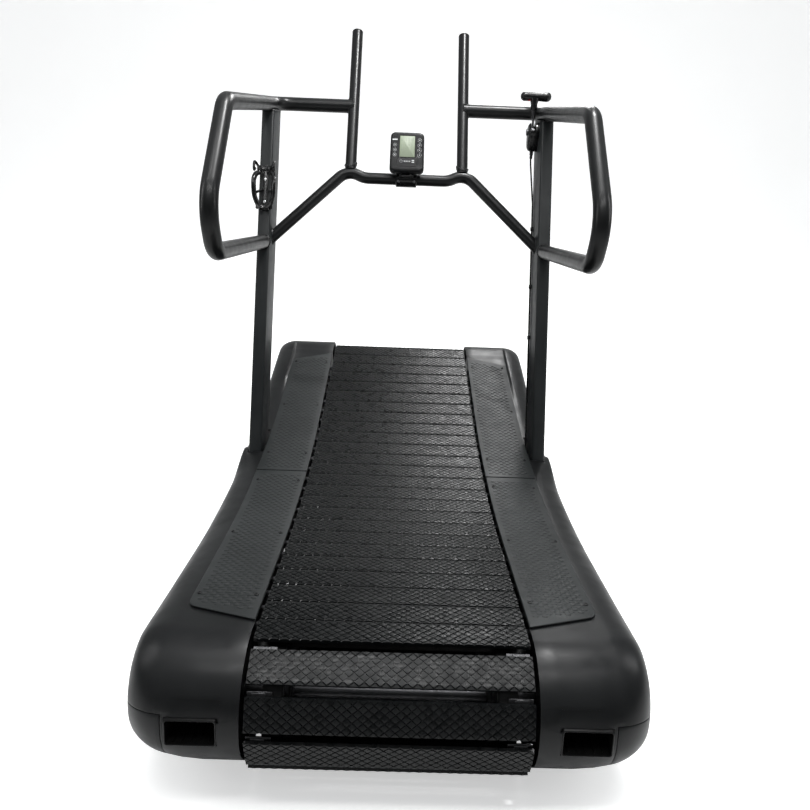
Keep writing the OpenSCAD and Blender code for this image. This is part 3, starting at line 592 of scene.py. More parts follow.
def socket_screw(radius, height, point, axis):
    """Button-head screw with a hexagonal socket."""
    outline = [(radius * 0.96, -0.001), (radius, height * 0.25), (radius * 0.9, height * 0.75),
               (radius * 0.66, height), (radius * 0.42, height), (radius * 0.4, height * 0.35),
               (2 * POLE, height * 0.35)]
    return turned(outline, point, axis, 36, hexed((4, 5)))


def hex_bolt(radius, height, point, axis):
    outline = [(radius * 1.25, 0), (radius * 1.25, height * 0.2), (radius * 0.92, height * 0.22),
               (radius * 0.92, height * 0.9), (radius * 0.8, height), (2 * POLE, height)]
    return turned(outline, point, axis, 36, hexed((2, 3)))


# ---- slat belt ----


def diamond_tread():
    """One tread with raised diamond pads between crossed grooves, in the slat's own axes.

    w is a groove's half width as a share of its cell, and s is where its sloping wall ends.
    """
    across = 27
    along = 4
    cell_x = BELT_W / across
    cell_y = TREAD_W / along
    edge = SLAT_T - 0.0006
    groove = SLAT_T - 0.0022
    w = 0.11
    s = w + 0.07
    rounding = 0.0012
    mesh = bmesh.new()

    def add(points):
        mesh.faces.new([mesh.verts.new(p) for p in points])

    for i in range(across):
        for j in range(along):
            cx = -BELT_W / 2 + (i + 0.5) * cell_x
            cy = -TREAD_W / 2 + (j + 0.5) * cell_y
            for quarter in range(4):
                ax, ay = ((1, 0), (0, 1), (-1, 0), (0, -1))[quarter]
                bx, by = ((0, 1), (-1, 0), (0, -1), (1, 0))[quarter]

                def at(a, b, z):
                    x = cx + (a * ax + b * bx) * cell_x / 2
                    y = cy + (a * ay + b * by) * cell_y / 2
                    return (x, y, z)

                add([at(0, 0, SLAT_T), at(1 - s, 0, edge), at(0, 1 - s, edge)])
                add([at(1 - s, 0, edge), at(1 - w, 0, groove), at(0, 1 - w, groove), at(0, 1 - s, edge)])
                add([at(1 - w, 0, groove), at(1, 0, groove), at(1, w, groove), at(w, 1, groove),
                     at(0, 1, groove), at(0, 1 - w, groove)])
                add([at(1, w, groove), at(1, s, edge), at(s, 1, edge), at(w, 1, groove)])
                add([at(1, s, edge), at(1, 1, SLAT_T), at(s, 1, edge)])
    bmesh.ops.remove_doubles(mesh, verts=mesh.verts, dist=1e-6)
    for vert in mesh.verts:
        if abs(vert.co.y) > TREAD_W / 2 - 1e-5:
            vert.co.z -= rounding
    rim = [edge for edge in mesh.edges if edge.is_boundary]
    made = bmesh.ops.extrude_edge_only(mesh, edges=rim)["geom"]
    low = [v for v in made if isinstance(v, bmesh.types.BMVert)]
    for vert in low:
        vert.co.z = TREAD_BASE
    bmesh.ops.edgeloop_fill(mesh, edges=[e for e in mesh.edges if e.is_boundary])
    bmesh.ops.recalc_face_normals(mesh, faces=mesh.faces)
    mesh.verts.index_update()
    verts = [v.co.copy() for v in mesh.verts]
    faces = []
    for face in mesh.faces:
        loop = [v.index for v in face.verts]
        first = loop.index(min(loop))
        faces.append(loop[first:] + loop[:first])
    mesh.free()
    return verts, sorted(faces)


def slat_places():
    """Matrix of each slat round the loop."""
    length = sum(LEGS)
    count = round(length / SLAT_PITCH)
    first = -0.003
    places = []
    for k in range(count):
        point, angle = on_loop(k * length / count + first)
        places.append(leaning((0, point.x, point.y), angle))
    return places


def slat_belt():
    """Treads on the CAD's slat bars, and the small brackets at their ends."""
    places = slat_places()
    tread = diamond_tread()
    piece(joined("slat_treads_embossed", [placed(tread, m) for m in places]), "tread_rubber",
          angle=20, replaces=["slat_treads"])
    end = BELT_W / 2 - 0.002
    tab = box(end - 0.040, end, 0.0215, 0.0345, 0.0132, 0.0160)
    lug = box(end - 0.030, end - 0.008, 0.0225, 0.0330, 0.0160, 0.0180)
    parts = []
    for matrix in places:
        for flip in (1, -1):
            side = matrix @ Matrix.Scale(flip, 4, (1, 0, 0))
            parts += [placed(tab, side), placed(lug, side)]
    tabs = solid("slat_end_brackets", *parts)
    bevel(tabs, 0.0006, 1)
    piece(tabs, "lever_metal")


# ---- covers ----


def cover_columns():
    """(x, inward offset) of a cover's columns, from the belt side outward."""
    flat = [INNER_X + (STEP_X + 0.001 - INNER_X) * i / 4 for i in range(5)]
    width = OUTER_X - STEP_X - 0.0015
    steps = 16
    curve = []
    for i in range(steps + 1):
        a = pi / 2 * i / steps
        curve.append((STEP_X + 0.0015 + width * sin(a), SHOULDER * (1 - cos(a))))
    return [(x, 0.0) for x in flat] + curve


def rear_outline(x, d, t):
    """Outline of the rear cover in one column, moved inward by t."""
    def shoulder(y):
        return TOP_DROP + d * (1 - 0.65 * ease((y + 0.060) / 0.150))

    points = []
    rows = 52
    for i in range(rows):
        y = COVER_SPLIT - t + (REAR_TOP.x - COVER_SPLIT) * i / rows
        points.append((y, deck_z(y) - shoulder(y) - t))
    arc = 44
    for i in range(arc + 1):
        a = pi / 2 - REAR_FALL + (pi + REAR_FALL) * i / arc
        points.append(tuple(REAR_C + (ROLL_R - TOP_DROP - d - t) * direction(a)))
    points += [(y, COVER_LOW + d * 0.6 + t) for y in (-0.600, COVER_SPLIT - t)]
    outer = max(0.0, (x - 0.300) / (OUTER_X - 0.300)) ** 2

    def tucked(y, z):
        tail = ease((-0.560 - y) / 0.200)
        lift = (0.13 + 0.20 * outer) * max(0.0, REAR_C.y - z)
        return y + 0.026 * outer * tail, z + lift * tail

    return [tucked(y, z) for y, z in points]


def front_outline(x, d, t):
    """Outline of the front cover in one column, moved inward by t."""
    nose = ROLL_R + 0.017

    def crown(y):
        beside = ease((y - 0.655) / 0.060)
        outside = ease((y - 0.300) / 0.360)
        lift = beside + (outside - beside) * ease((x - STEP_X - 0.001) / 0.005)
        return TOP_DROP + d - 0.009 * lift

    bottom = COVER_LOW + d * 0.6 + t
    points = [(COVER_SPLIT + 0.004 + t, bottom), (0.780 - d, bottom)]
    points += [(FRONT_C.x + nose + 0.005 - d - t, 0.110)]
    arc = 34
    top = pi / 2 + FRONT_RISE
    last = FRONT_TOP.x - 0.004
    level = ROLL_R - crown(last)
    for i in range(arc + 1):
        a = top * i / arc
        grown = ease((top - a) / radians(40))
        reach = level + (nose - 0.003 - d - level) * grown - t
        points.append(tuple(FRONT_C + reach * direction(a)))
    rows = 44
    first = COVER_SPLIT + 0.004 + t
    for i in range(rows + 1):
        y = last + (first - last) * i / rows
        points.append((y, deck_z(y) - crown(y) - t))
    return points


def shell(name, outline):
    """Cup-shaped moulded cover, open towards the belt."""
    columns = cover_columns()
    last = len(columns) - 1
    outer = [[Vector((x, y, z)) for y, z in outline(x, d, 0)] for x, d in columns]
    inner = []
    for index, (x, d) in enumerate(columns):
        x_in = min(x, OUTER_X - COVER_T - GAP * (last - index))
        inner.append([Vector((x_in, y, z)) for y, z in outline(x, d, COVER_T)])
    obj = new_object(name, *loft(outer + inner[::-1]))
    count = len(outer[0])
    mesh = bmesh.new()
    mesh.from_mesh(obj.data)
    mesh.verts.ensure_lookup_table()
    mesh.faces.ensure_lookup_table()
    outer_edge = {last, last + 1}
    spans = {f: {v.index // count for v in f.verts} for f in mesh.faces}
    spare = [f for f in mesh.faces if len(f.verts) > 4 or spans[f] == outer_edge]
    bmesh.ops.delete(mesh, geom=spare, context="FACES_ONLY")
    mesh.verts.ensure_lookup_table()
    total = len(mesh.verts)
    for k in range(count):
        near = (k, (k + 1) % count)
        far = (total - count + near[0], total - count + near[1])
        mesh.faces.new([mesh.verts[i] for i in (near[0], near[1], far[1], far[0])])
    for start in (last * count, (last + 1) * count):
        mesh.faces.new([mesh.verts[start + k] for k in range(count)])
    bmesh.ops.recalc_face_normals(mesh, faces=mesh.faces)
    mesh.to_mesh(obj.data)
    mesh.free()
    return obj


def post_passage():
    """The leaning slot that an upright and its cable pass through."""
    half = 0.058
    low = 0.030
    high = 0.400
    outline = [(post_y(low) - half, low), (post_y(high) - half, high),
               (post_y(high) + half, high), (post_y(low) + half, low)]
    return prism(outline, POST_X - POST_W / 2 - 0.0065, POST_X + POST_W / 2 + 0.0015)


def cap_corner(gap):
    """Block that holds the end cap, smaller by gap."""
    ahead = -0.690 - gap
    outline = [(BEHIND_Y, 0.0), (ahead, 0.0), (ahead, 0.158 - gap), (BEHIND_Y, 0.222 - gap)]
    return prism(outline, POCKET_X[1] + 0.006 + gap, 0.500)


def rear_face_y(z):
    """Y of the rear cover's flat columns at height z."""
    return REAR_C.x - sqrt((ROLL_R - TOP_DROP) ** 2 - (z - REAR_C.y) ** 2)


def pocket_band():
    """The shallow step above the grip pocket."""
    low = asin((POCKET_Z[1] - 0.004 - REAR_C.y) / ROLL_R)
    high = asin((POCKET_Z[1] + 0.030 - REAR_C.y) / ROLL_R)
    steps = 10
    angles = [pi - low - (high - low) * i / steps for i in range(steps + 1)]
    reach = ROLL_R - TOP_DROP - 0.0028
    outline = [tuple(REAR_C + (reach + 0.03) * direction(a)) for a in angles]
    outline += [tuple(REAR_C + reach * direction(a)) for a in angles[::-1]]
    return prism(outline, POCKET_X[0] - 0.004, POCKET_X[1] + 0.0062)


def open_cover(cover):
    """Cuts the upright's passage, and openings for the underside, the base rail and the side plate."""
    ends = (COVER_SPLIT - 0.010, COVER_SPLIT + 0.020)
    inner = INNER_X - 0.005
    boolean(cover, post_passage())
    boolean(cover, box(inner, OUTER_X - 0.010, -0.672, 0.760, 0.0, 0.040))
    boolean(cover, box(0.334, 0.376, *ends, 0.0, 0.085))
    boolean(cover, box(inner, 0.256, *ends, 0.0, deck_z(COVER_SPLIT) - 0.010))


def finished_cover(cover, edge, node):
    bevel(cover, edge, 2, 50)
    both_sides(cover, "cover_plastic", node=node)


def covers():
    """Rear covers with their end caps cut off, and front covers."""
    rear = shell("right_rear_cover_moulded", rear_outline)
    cap = rear.copy()
    cap.data = rear.data.copy()
    cap.name = "right_end_cap_moulded"
    IN_SCENE.link(cap)
    open_cover(rear)
    boolean(rear, cap_corner(0.0))
    boolean(rear, box(*POCKET_X, BEHIND_Y, -0.810, *POCKET_Z))
    boolean(rear, pocket_band())
    finished_cover(rear, 0.0010, "rear_cover")
    boolean(cap, cap_corner(0.0012), "INTERSECT")
    finished_cover(cap, 0.0012, "end_cap")
    front = shell("right_front_cover_moulded", front_outline)
    open_cover(front)
    finished_cover(front, 0.0010, "front_cover")


def pockets():
    """Grip pockets: a rounded lip, and a lined box behind it with ribs on its floor."""
    mid_x = sum(POCKET_X) / 2
    mid_z = sum(POCKET_Z) / 2
    width = POCKET_X[1] - POCKET_X[0]
    height = POCKET_Z[1] - POCKET_Z[0]

    def ring(inset, y_at):
        outline = rounded_rect(width - 2 * inset, height - 2 * inset, 0.004)
        return [Vector((mid_x + a, y_at(mid_z + b), mid_z + b)) for a, b in outline]

    def lip(inset, depth):
        return ring(inset, lambda z: rear_face_y(z) + depth)

    def flat(inset, y):
        return ring(inset, lambda z: y)

    lining = [lip(0.0002, 0.003), lip(0.0004, -0.0008), lip(0.0016, -0.0016), lip(0.0028, -0.0006),
              lip(0.0030, 0.004), flat(0.0032, -0.800), flat(0.0004, -0.798), flat(0.0002, -0.830)]
    parts = [loft(lining, closed=True), loft([flat(0.0004, -0.7985), flat(0.0004, -0.7965)])]
    for i in range(5):
        x = POCKET_X[0] + width * (i + 1) / 6
        parts.append(box(x - 0.001, x + 0.001, -0.845, -0.801, POCKET_Z[0] + 0.0025, POCKET_Z[0] + 0.006))
    both_sides(solid("right_pocket_lined", *parts), "pocket_plastic", shared=["pocket_liners"])


# ---- foot plates ----


def rounded_outline(corners, radius, steps=6):
    """Closed plan outline with every corner rounded."""
    points = [Vector((*c, 0)) for c in corners]
    count = len(points)
    out = []
    for i in range(count):
        path = [points[i - 1], points[i], points[(i + 1) % count]]
        out += [(p.x, p.y) for p in rounded_path(path, [radius[i]], steps)[1:-1]]
    return out


def inside(point, outline):
    """Whether a plan point lies inside an outline."""
    hit = False
    x, y = point
    for (ax, ay), (bx, by) in zip(outline, outline[1:] + outline[:1]):
        if (ay > y) != (by > y) and x < ax + (y - ay) / (by - ay) * (bx - ax):
            hit = not hit
    return hit


def foot_plate(name, corners, radius, node):
    """A plate that follows the deck's curve, with its grip pads."""
    outline = rounded_outline(corners, radius)
    rows = 46
    spare = 0.01
    first = min(y for _, y in outline) - spare
    last = max(y for _, y in outline) + spare
    section = ((INNER_X - spare, 0), (STEP_X + spare, 0), (STEP_X + spare, STEP_T), (INNER_X - spare, STEP_T))
    rings = []
    for i in range(rows + 1):
        y = first + (last - first) * i / rows
        rings.append([Vector((x, y, deck_z(y) - STEP_SINK + h)) for x, h in section])
    plate = solid(name, loft(rings))
    boolean(plate, loft([[Vector((x, y, z)) for x, y in outline] for z in (0.1, 0.6)]), "INTERSECT")
    bevel(plate, 0.0014, 3, 50)
    both_sides(plate, "step_plastic", node=node)
    both_sides(solid(name + "_grip", *grip_pads(outline)), "step_plastic", angle=30)


def grip_pads(outline):
    """Raised oval pads in staggered rows, kept clear of the plate's edges."""
    pitch_x = 0.0172
    pitch_y = 0.0086
    half_x = 0.0062
    half_y = 0.0036
    clear_x = 0.012
    clear_y = 0.016
    height = 0.0013
    dome = ((1.0, -0.0004), (0.94, height * 0.45), (0.62, height * 0.95), (0.2, height))
    parts = []
    row = 0
    y = min(v for _, v in outline)
    last = max(v for _, v in outline)
    while y < last:
        x = INNER_X + STEP_MARGIN_IN + half_x + (row % 2) * pitch_x / 2
        while x < STEP_X - STEP_MARGIN_OUT:
            corners = [(x + dx, y + dy) for dx in (-clear_x, clear_x) for dy in (-clear_y, clear_y)]
            if all(inside(c, outline) for c in corners):
                rings = [[Vector((half_x * size * cos(a), half_y * size * sin(a), z)) for a in turns(10)]
                         for size, z in dome]
                matrix = leaning((x, y, deck_z(y) - STEP_SINK + STEP_T), deck_slope(y))
                parts.append(placed(loft(rings), matrix))
            x += pitch_x
        y += pitch_y
        row += 1
    return parts


def foot_plates():
    rear = [(INNER_X, STEP_REAR), (STEP_X - 0.004, STEP_REAR + 0.040), (STEP_X, SEAM_Y - 0.002),
            (INNER_X, SEAM_Y - 0.002)]
    front = [(INNER_X, SEAM_Y + 0.002), (STEP_X, SEAM_Y + 0.002), (STEP_X - 0.002, STEP_FRONT - 0.050),
             (INNER_X, STEP_FRONT)]
    foot_plate("right_rear_step_plate", rear, [0.002, 0.022, 0.003, 0.002], "rear_step")
    foot_plate("right_front_step_plate", front, [0.002, 0.003, 0.018, 0.002], "front_step")
    screws = []
    for y in (-0.620, -0.360, -0.090, 0.060, 0.330, 0.590):
        for x in (INNER_X + 0.014, STEP_X - 0.014):
            axis = (0, -sin(deck_slope(y)), cos(deck_slope(y)))
            for side in (1, -1):
                spot = (side * x, y, deck_z(y) - STEP_SINK + STEP_T)
                screws.append(socket_screw(0.0045, 0.0022, spot, axis))
    piece(solid("step_screw_heads", *screws), "frame_paint", replaces=["step_screws"])


# ---- uprights, handrails and bars ----


def uprights():
    """Leaning tubes cut to the handrails' slope, with their welds and bolts."""
    section = rounded_rect(POST_W, POST_D / cos(POST_LEAN), 0.006)
    low = 0.027
    seat = 1.1588
    lean = tan(POST_LEAN)
    bottom = []
    top = []
    for a, b in section:
        bottom.append(Vector((POST_X + a, post_y(low) + b, low)))
        z = (seat + RAIL_RISE * (post_y(0.0) + b - RAIL_AT[0])) / (1 - RAIL_RISE * lean)
        top.append(Vector((POST_X + a, post_y(z) + b, z)))
    post = solid("right_upright_tube", loft([bottom, top]))
    bevel(post, 0.0008, 2, 50)
    both_sides(post, "post_paint", node="upright")
    seams = [bead([Vector((side * p.x, p.y, p.z + 0.0005)) for p in top], 0.0020) for side in (1, -1)]
    piece(solid("upright_top_welds", *seams), "bar_paint")
    bolts = []
    for z in (0.038, 0.070):
        for shift in (-0.014, 0.018):
            y = post_y(z) + shift
            for side in (1, -1):
                for x, way in ((POST_X + POST_W / 2 + GAP, side), (BASE_X, -side)):
                    bolts.append(hex_bolt(0.0072, 0.006, (side * x, y, z), (way, 0, 0)))
    piece(solid("upright_bolt_heads", *bolts), "frame_paint")


def handrails():
    """Handrail loops, notched round the push bars and welded to the uprights."""
    cross_z = top_run(0.523) - 0.0005
    cross_y = horn_at(cross_z).y
    rear_y = -0.083
    foot_z = 0.808
    corners = [(HORN_X, cross_y, cross_z), (POST_X, cross_y, cross_z), (POST_X, rear_y, top_run(rear_y)),
               (POST_X, -0.274, 0.940), (POST_X, -0.233, 0.843), (POST_X, 0.286, foot_z)]
    route = rounded_path(corners, [0.060, 0.062, 0.090, 0.046], 18)
    rail = solid("right_handrail_tube", sweep(route, circle(RAIL_R, 40)))
    boolean(rail, horn_tube(BAR_R + 0.00005, -0.1, 0.1))
    both_sides(rail, "bar_paint", node="handrail")
    lean = Vector((0, cos(HORN_LEAN), -sin(HORN_LEAN)))
    mouth = []
    for a in turns(96):
        off = Vector((0, RAIL_R * cos(a), RAIL_R * sin(a)))
        reach = sqrt(max(0.0, BAR_R ** 2 - off.dot(lean) ** 2))
        mouth.append(Vector((HORN_X + reach, cross_y, cross_z)) + off)
    welds = solid("right_handrail_welds", bead(mouth, 0.0024), bead(rail_foot(foot_z)))
    both_sides(welds, "bar_paint")


def rail_foot(z):
    """Weld line of a handrail's lower end on the leaning rear face of its upright."""
    line = []
    for a in turns(72):
        height = z + RAIL_R * sin(a)
        line.append(Vector((POST_X + RAIL_R * cos(a), post_y(height) - POST_D / 2 / cos(POST_LEAN), height)))
    return line


def horn_tube(radius, below=0.0, above=0.0, sides=40):
    axis = Vector((0, sin(HORN_LEAN), cos(HORN_LEAN)))
    start = horn_at(HORN_LOW[1]) - below * axis
    stop = horn_at(HORN_TOP) + above * axis
    return sweep([start + (stop - start) * i / 4 for i in range(5)], circle(radius, sides), (1, 0, 0))


def push_horns():
    """Push bars with their end caps and the welds on the crossbar."""
    both_sides(solid("right_push_horn_tube", horn_tube(BAR_R)), "bar_paint", node="push_horn")
    axis = Vector((0, sin(HORN_LEAN), cos(HORN_LEAN)))
    outline = [(BAR_R - 0.0005, -0.002), (BAR_R + 0.0004, 0.0), (BAR_R + 0.0004, 0.0018),
               (BAR_R - 0.0012, 0.0028), (BAR_R - 0.005, 0.0034), (2 * POLE, 0.0036)]
    cap = solid("right_horn_cap_dome", turned(outline, horn_at(HORN_TOP), axis))
    both_sides(cap, "cap_plastic", shared=["horn_caps"])
    foot = toward(horn_at(HORN_LOW[1] + 0.0165), axis)
    loop = []
    for a in turns(72):
        drop = 0.0075 * (1 - cos(2 * a)) - 0.004 * cos(a)
        loop.append(foot @ Vector((BAR_R * cos(a), BAR_R * sin(a), 0)) - axis * drop)
    both_sides(solid("right_horn_foot_weld", bead(loop, 0.0024)), "bar_paint")


def lower_crossbar():
    """Bent tube between the uprights, welded at both ends."""
    end_x, end_z = BAR_END
    half = [(0.122, BAR_Z), (HORN_X + 0.008, BAR_SHOULDER_Z), (end_x, end_z)]
    corners = [(x, post_y(z), z) for x, z in [(-x, z) for x, z in half[::-1]] + half]
    route = rounded_path(corners, [0.050, 0.070, 0.070, 0.050], 18)
    bar = solid("lower_crossbar_tube", sweep(route, circle(BAR_R, 36), (0, 1, 0)))
    piece(bar, "bar_paint", replaces=["lower_crossbar"])
    end = Vector(corners[-1])
    run = (Vector(corners[-2]) - end).normalized()
    up = run.cross(Vector((0, 1, 0))).normalized()
    side = up.cross(run)
    wall = POST_X - POST_W / 2
    loop = []
    for a in turns(72):
        point = end + BAR_R * (cos(a) * side + sin(a) * up)
        loop.append(point + run * ((wall - point.x) / run.x))
    both_sides(solid("right_crossbar_weld", bead(loop)), "bar_paint")


# ---- resistance lever and cable ----


def teardrop(radius, drop, steps=40):
    """YZ outline of the lever housing, round its pivot."""
    first = radians(-30)
    angles = [first + radians(240) * i / steps for i in range(steps + 1)]
    arc = [(radius * cos(a), radius * sin(a)) for a in angles]
    foot_y = 0.009
    side = []
    for i in range(1, 9):
        t = i / 9
        y = arc[-1][0] * (1 - t) - foot_y * t
        side.append((y, arc[-1][1] * (1 - t) - drop * t - 0.004 * sin(pi * t)))
    return arc + side + [(-foot_y, -drop), (foot_y, -drop)] + [(-y, z) for y, z in side[::-1]]


def lever_housing():
    """Moulded housing on the right upright, slotted for the lever, and the cable's ferrule."""
    x_face = 0.350
    rounding = 0.011
    sink = 0.008
    outline = teardrop(0.027, 0.052)
    rings = [[Vector((POST_X - POST_W / 2 - GAP, LEVER_C.y + y, LEVER_C.z + z)) for y, z in outline]]
    steps = 8
    for i in range(steps + 1):
        a = pi / 2 * i / steps
        size = 1 - 0.40 * (1 - cos(a))
        x = x_face + rounding * (1 - sin(a))
        rings.append([Vector((x, LEVER_C.y + y * size, LEVER_C.z - sink + (z + sink) * size))
                      for y, z in outline])
    housing = solid("lever_housing_moulded", loft(rings))
    stem_slot = box(0.3565, 0.3695, LEVER_C.y - 0.028, LEVER_C.y + 0.020, LEVER_C.z + 0.004, LEVER_C.z + 0.05)
    boolean(housing, stem_slot)
    bevel(housing, 0.0008, 2, 50)
    piece(housing, "lever_plastic", replaces=["lever_housing"])
    gland = [(0.0052, 0.0), (0.0052, 0.010), (0.0042, 0.012), (0.0042, 0.020), (0.0030, 0.022)]
    ferrule = turned(gland, (CABLE_X, LEVER_C.y, LEVER_C.z - 0.051), (0, 0, -1), 24)
    piece(solid("lever_cable_ferrule", ferrule), "lever_plastic")


def hand_bar(half, radius, flare=0.0006):
    """Lathe outline of the T-shaped grip's bar: a slight waist between round ends."""
    steps = 10
    waist = 12
    first = [-pi / 2 + pi / 2 * i / steps for i in range(steps + 1)]
    outline = [(max(POLE, radius * cos(a)), -half + radius * sin(a)) for a in first]
    for i in range(1, waist):
        t = i / waist
        outline.append((radius - 0.0014 * sin(pi * t) + flare * t, -half + 2 * half * t))
    last = [pi / 2 * i / steps for i in range(steps + 1)]
    return outline + [(max(POLE, (radius + flare) * cos(a)), half + radius * sin(a)) for a in last]


def lever():
    """The lever's stem and its T-shaped grip, in the lever's own leaning axes."""
    matrix = leaning((LEVER_X, LEVER_C.y, LEVER_C.z), -STEM_LEAN)
    sideways = Matrix.Rotation(pi / 2, 4, "Y")
    upward = [Vector((0, 0, z)) for z in (0.0, 0.020, 0.044)]
    strip = sweep(upward, rounded_rect(0.012, 0.005, 0.0012), (0, 1, 0))
    stem = lathe([(POLE, 0.036), (0.0052, 0.037), (0.0060, 0.040), (0.0060, 0.080), (POLE, 0.080)], 32)
    hub = lathe([(POLE, -0.005), (0.012, -0.005), (0.013, -0.004), (0.013, 0.004), (0.012, 0.005),
                 (POLE, 0.005)])
    rod = [placed(p, matrix) for p in (strip, stem, placed(hub, sideways))]
    piece(solid("resistance_lever_stem", *rod), "lever_metal", "lever", replaces=["resistance_lever"])
    bar_r = 0.0128
    bar = placed(lathe(hand_bar(0.0315, bar_r), 40), Matrix.Translation((0.004, 0, STEM_H)) @ sideways)
    collar = lathe([(POLE, 0.060), (0.0078, 0.060), (0.0088, 0.0615), (0.0094, 0.078), (0.0120, 0.087),
                    (0.0125, 0.092), (POLE, 0.094)], 32)
    grip = [placed(p, matrix) for p in (bar, collar)]
    piece(solid("lever_grip_moulded", *grip), "lever_plastic", "lever", replaces=["lever_grip"])
    dot = lathe([(POLE, 0.0), (0.0036, 0.0), (0.0036, 0.0008), (0.0022, 0.0016), (POLE, 0.0018)], 24)
    under = matrix @ leaning((-0.016, -0.004, STEM_H - bar_r + 0.0008), pi)
    piece(solid("lever_grip_insert", placed(dot, under)), "lever_plastic", "lever", material=RED)


def cable():
    """Brake cable from the lever, down the right upright, to the brake arm."""
    x = POST_X - POST_W / 2 - 0.0034
    ahead = 0.034
    cable_r = 0.0025

    def down(z):
        return (x, post_y(z) + ahead, z)

    corners = [(CABLE_X, LEVER_C.y, LEVER_C.z - 0.046), (CABLE_X, LEVER_C.y + 0.004, LEVER_C.z - 0.078),
               down(0.930), down(0.238), (0.350, 0.260, 0.210), (0.330, 0.440, 0.300), (0.330, 0.545, 0.300)]
    route = rounded_path(corners, [0.060, 0.060, 0.040, 0.060, 0.060])
    sheath = solid("resistance_cable_sheath", sweep(route, circle(cable_r, 16), (1, 0, 0)))
    piece(sheath, "cable_sheath", replaces=["resistance_cable"])
    axis = Vector((0, sin(POST_LEAN), cos(POST_LEAN)))
    outline = [(0.0030, -0.005), (0.0042, -0.005), (0.0044, -0.0045), (0.0044, 0.0045), (0.0042, 0.005),
               (0.0030, 0.005)]
    sleeve = loft([[Vector((a, b, h)) for a, b in circle(r, 24)] for r, h in outline], closed=True)
    pad = box(-0.0008, 0.0030, -0.006, 0.010, -0.005, 0.005)
    clips = []
    for z in (0.560, 0.700, 0.860):
        clips += [placed(sleeve, toward(down(z), axis)), placed(pad, leaning(down(z), -POST_LEAN))]
    piece(solid("cable_clips_moulded", *clips), "lever_plastic", replaces=["cable_clips"])


# ---- bottle cage ----


# (degrees round the bottle, height, distance out from the bottle) along each kind of rod
CAGE_ARM = ((8, -0.052, 0), (34, -0.044, 0), (66, -0.022, 0), (86, 0.006, 0), (84, 0.026, 0), (62, 0.042, 0),
            (38, 0.050, 0))
CAGE_HOOK = ((10, 0.046, 0), (26, 0.056, 0), (50, 0.068, 0), (76, 0.074, 0), (94, 0.068, 0), (98, 0.056, 0),
             (86, 0.050, 0), (74, 0.056, 0))
CAGE_BRACE = ((8, 0.004, 0), (40, -0.004, 0), (72, -0.014, 0))
CAGE_SHELF = ((6, -0.048, 0), (24, -0.053, -0.004), (46, -0.054, -0.012), (70, -0.054, -0.018))


def bottle_cage():
    """Lyre-shaped cage: a spine on the upright, and arms that wrap round the bottle and curl at the top."""
    origin = (-POST_X + 0.001, post_y(CAGE_MID_Z) - POST_D / 2 / cos(POST_LEAN), CAGE_MID_Z)
    matrix = leaning(origin, -POST_LEAN)
    stand = 0.003
    blade = [(1.7 * a, 0.9 * b) for a, b in circle(0.0042, 14)]
    rod = circle(0.0037, 14)

    def wrap(degrees_round, z, out=0.0):
        a = radians(degrees_round)
        return Vector(((CAGE_R + out) * sin(a), -stand - CAGE_R + (CAGE_R + out) * cos(a), z))

    parts = []
    for side in (1, -1):
        for line, section in ((CAGE_ARM, blade), (CAGE_HOOK, rod), (CAGE_BRACE, rod), (CAGE_SHELF, rod)):
            path = smooth_path([wrap(side * a, z, out) for a, z, out in line])
            parts.append(sweep(path, section, (0, 0, 1)))
    spine = [Vector((0, -0.0026, z)) for z in (-0.055, -0.036, 0.0, 0.040, 0.072)]
    widths = (0.9, 1.1, 0.8, 1.1, 0.9)
    parts.append(sweep(spine, rounded_rect(0.0046, 0.016, 0.0016, 3), (0, 1, 0), lambda i: widths[i]))
    for z in (-0.047, 0.062):
        pad = smooth_path([wrap(a, z) for a in (-52, -26, 0, 26, 52)])
        parts.append(sweep(pad, rounded_rect(0.015, 0.005, 0.002, 3), (0, 0, 1)))
    cage = solid("bottle_cage_lyre", *[placed(p, matrix) for p in parts])
    piece(cage, "cage_plastic", replaces=["bottle_cage"])
    half_pitch = 0.032
    heads = [socket_screw(0.0045, 0.0030, (0, -0.0048, z), (0, -1, 0)) for z in (-half_pitch, half_pitch)]
    bolts = solid("cage_bolt_heads", *[placed(p, matrix) for p in heads])
    piece(bolts, "bearing_steel", replaces=["cage_bolts"])


# ---- console ----

CONSOLE = leaning((0, post_y(BAR_Z) - 0.019, 0.991), -CONSOLE_LEAN)
FACE_Y = -0.035
FACE_W = 0.098
FACE_H = 0.116
WINDOW_Z = 0.0766
INK_Y = FACE_Y + 0.0002
INK_T = 0.0004
KEYS = [(0.035, 0.052 + 0.0145 * i) for i in range(4)]


def face_plate(width, height, radius, y, mid_z, taper=0.0):
    """Ring of a rounded rectangle on the console's face plane, a little narrower at the top."""
    ring = []
    for a, b in rounded_rect(width, height, radius, 6):
        lean = 1 - taper / (width / 2) * (b / height + 0.5)
        ring.append(Vector((a * lean, y, mid_z + b)))
    return ring


def on_console(name, parts, slot, replaces=(), material=None):
    """A piece made of parts given in the console's own axes."""
    obj = solid(name, *[placed(p, CONSOLE) for p in parts])
    piece(obj, slot, "console", replaces=replaces, material=material)


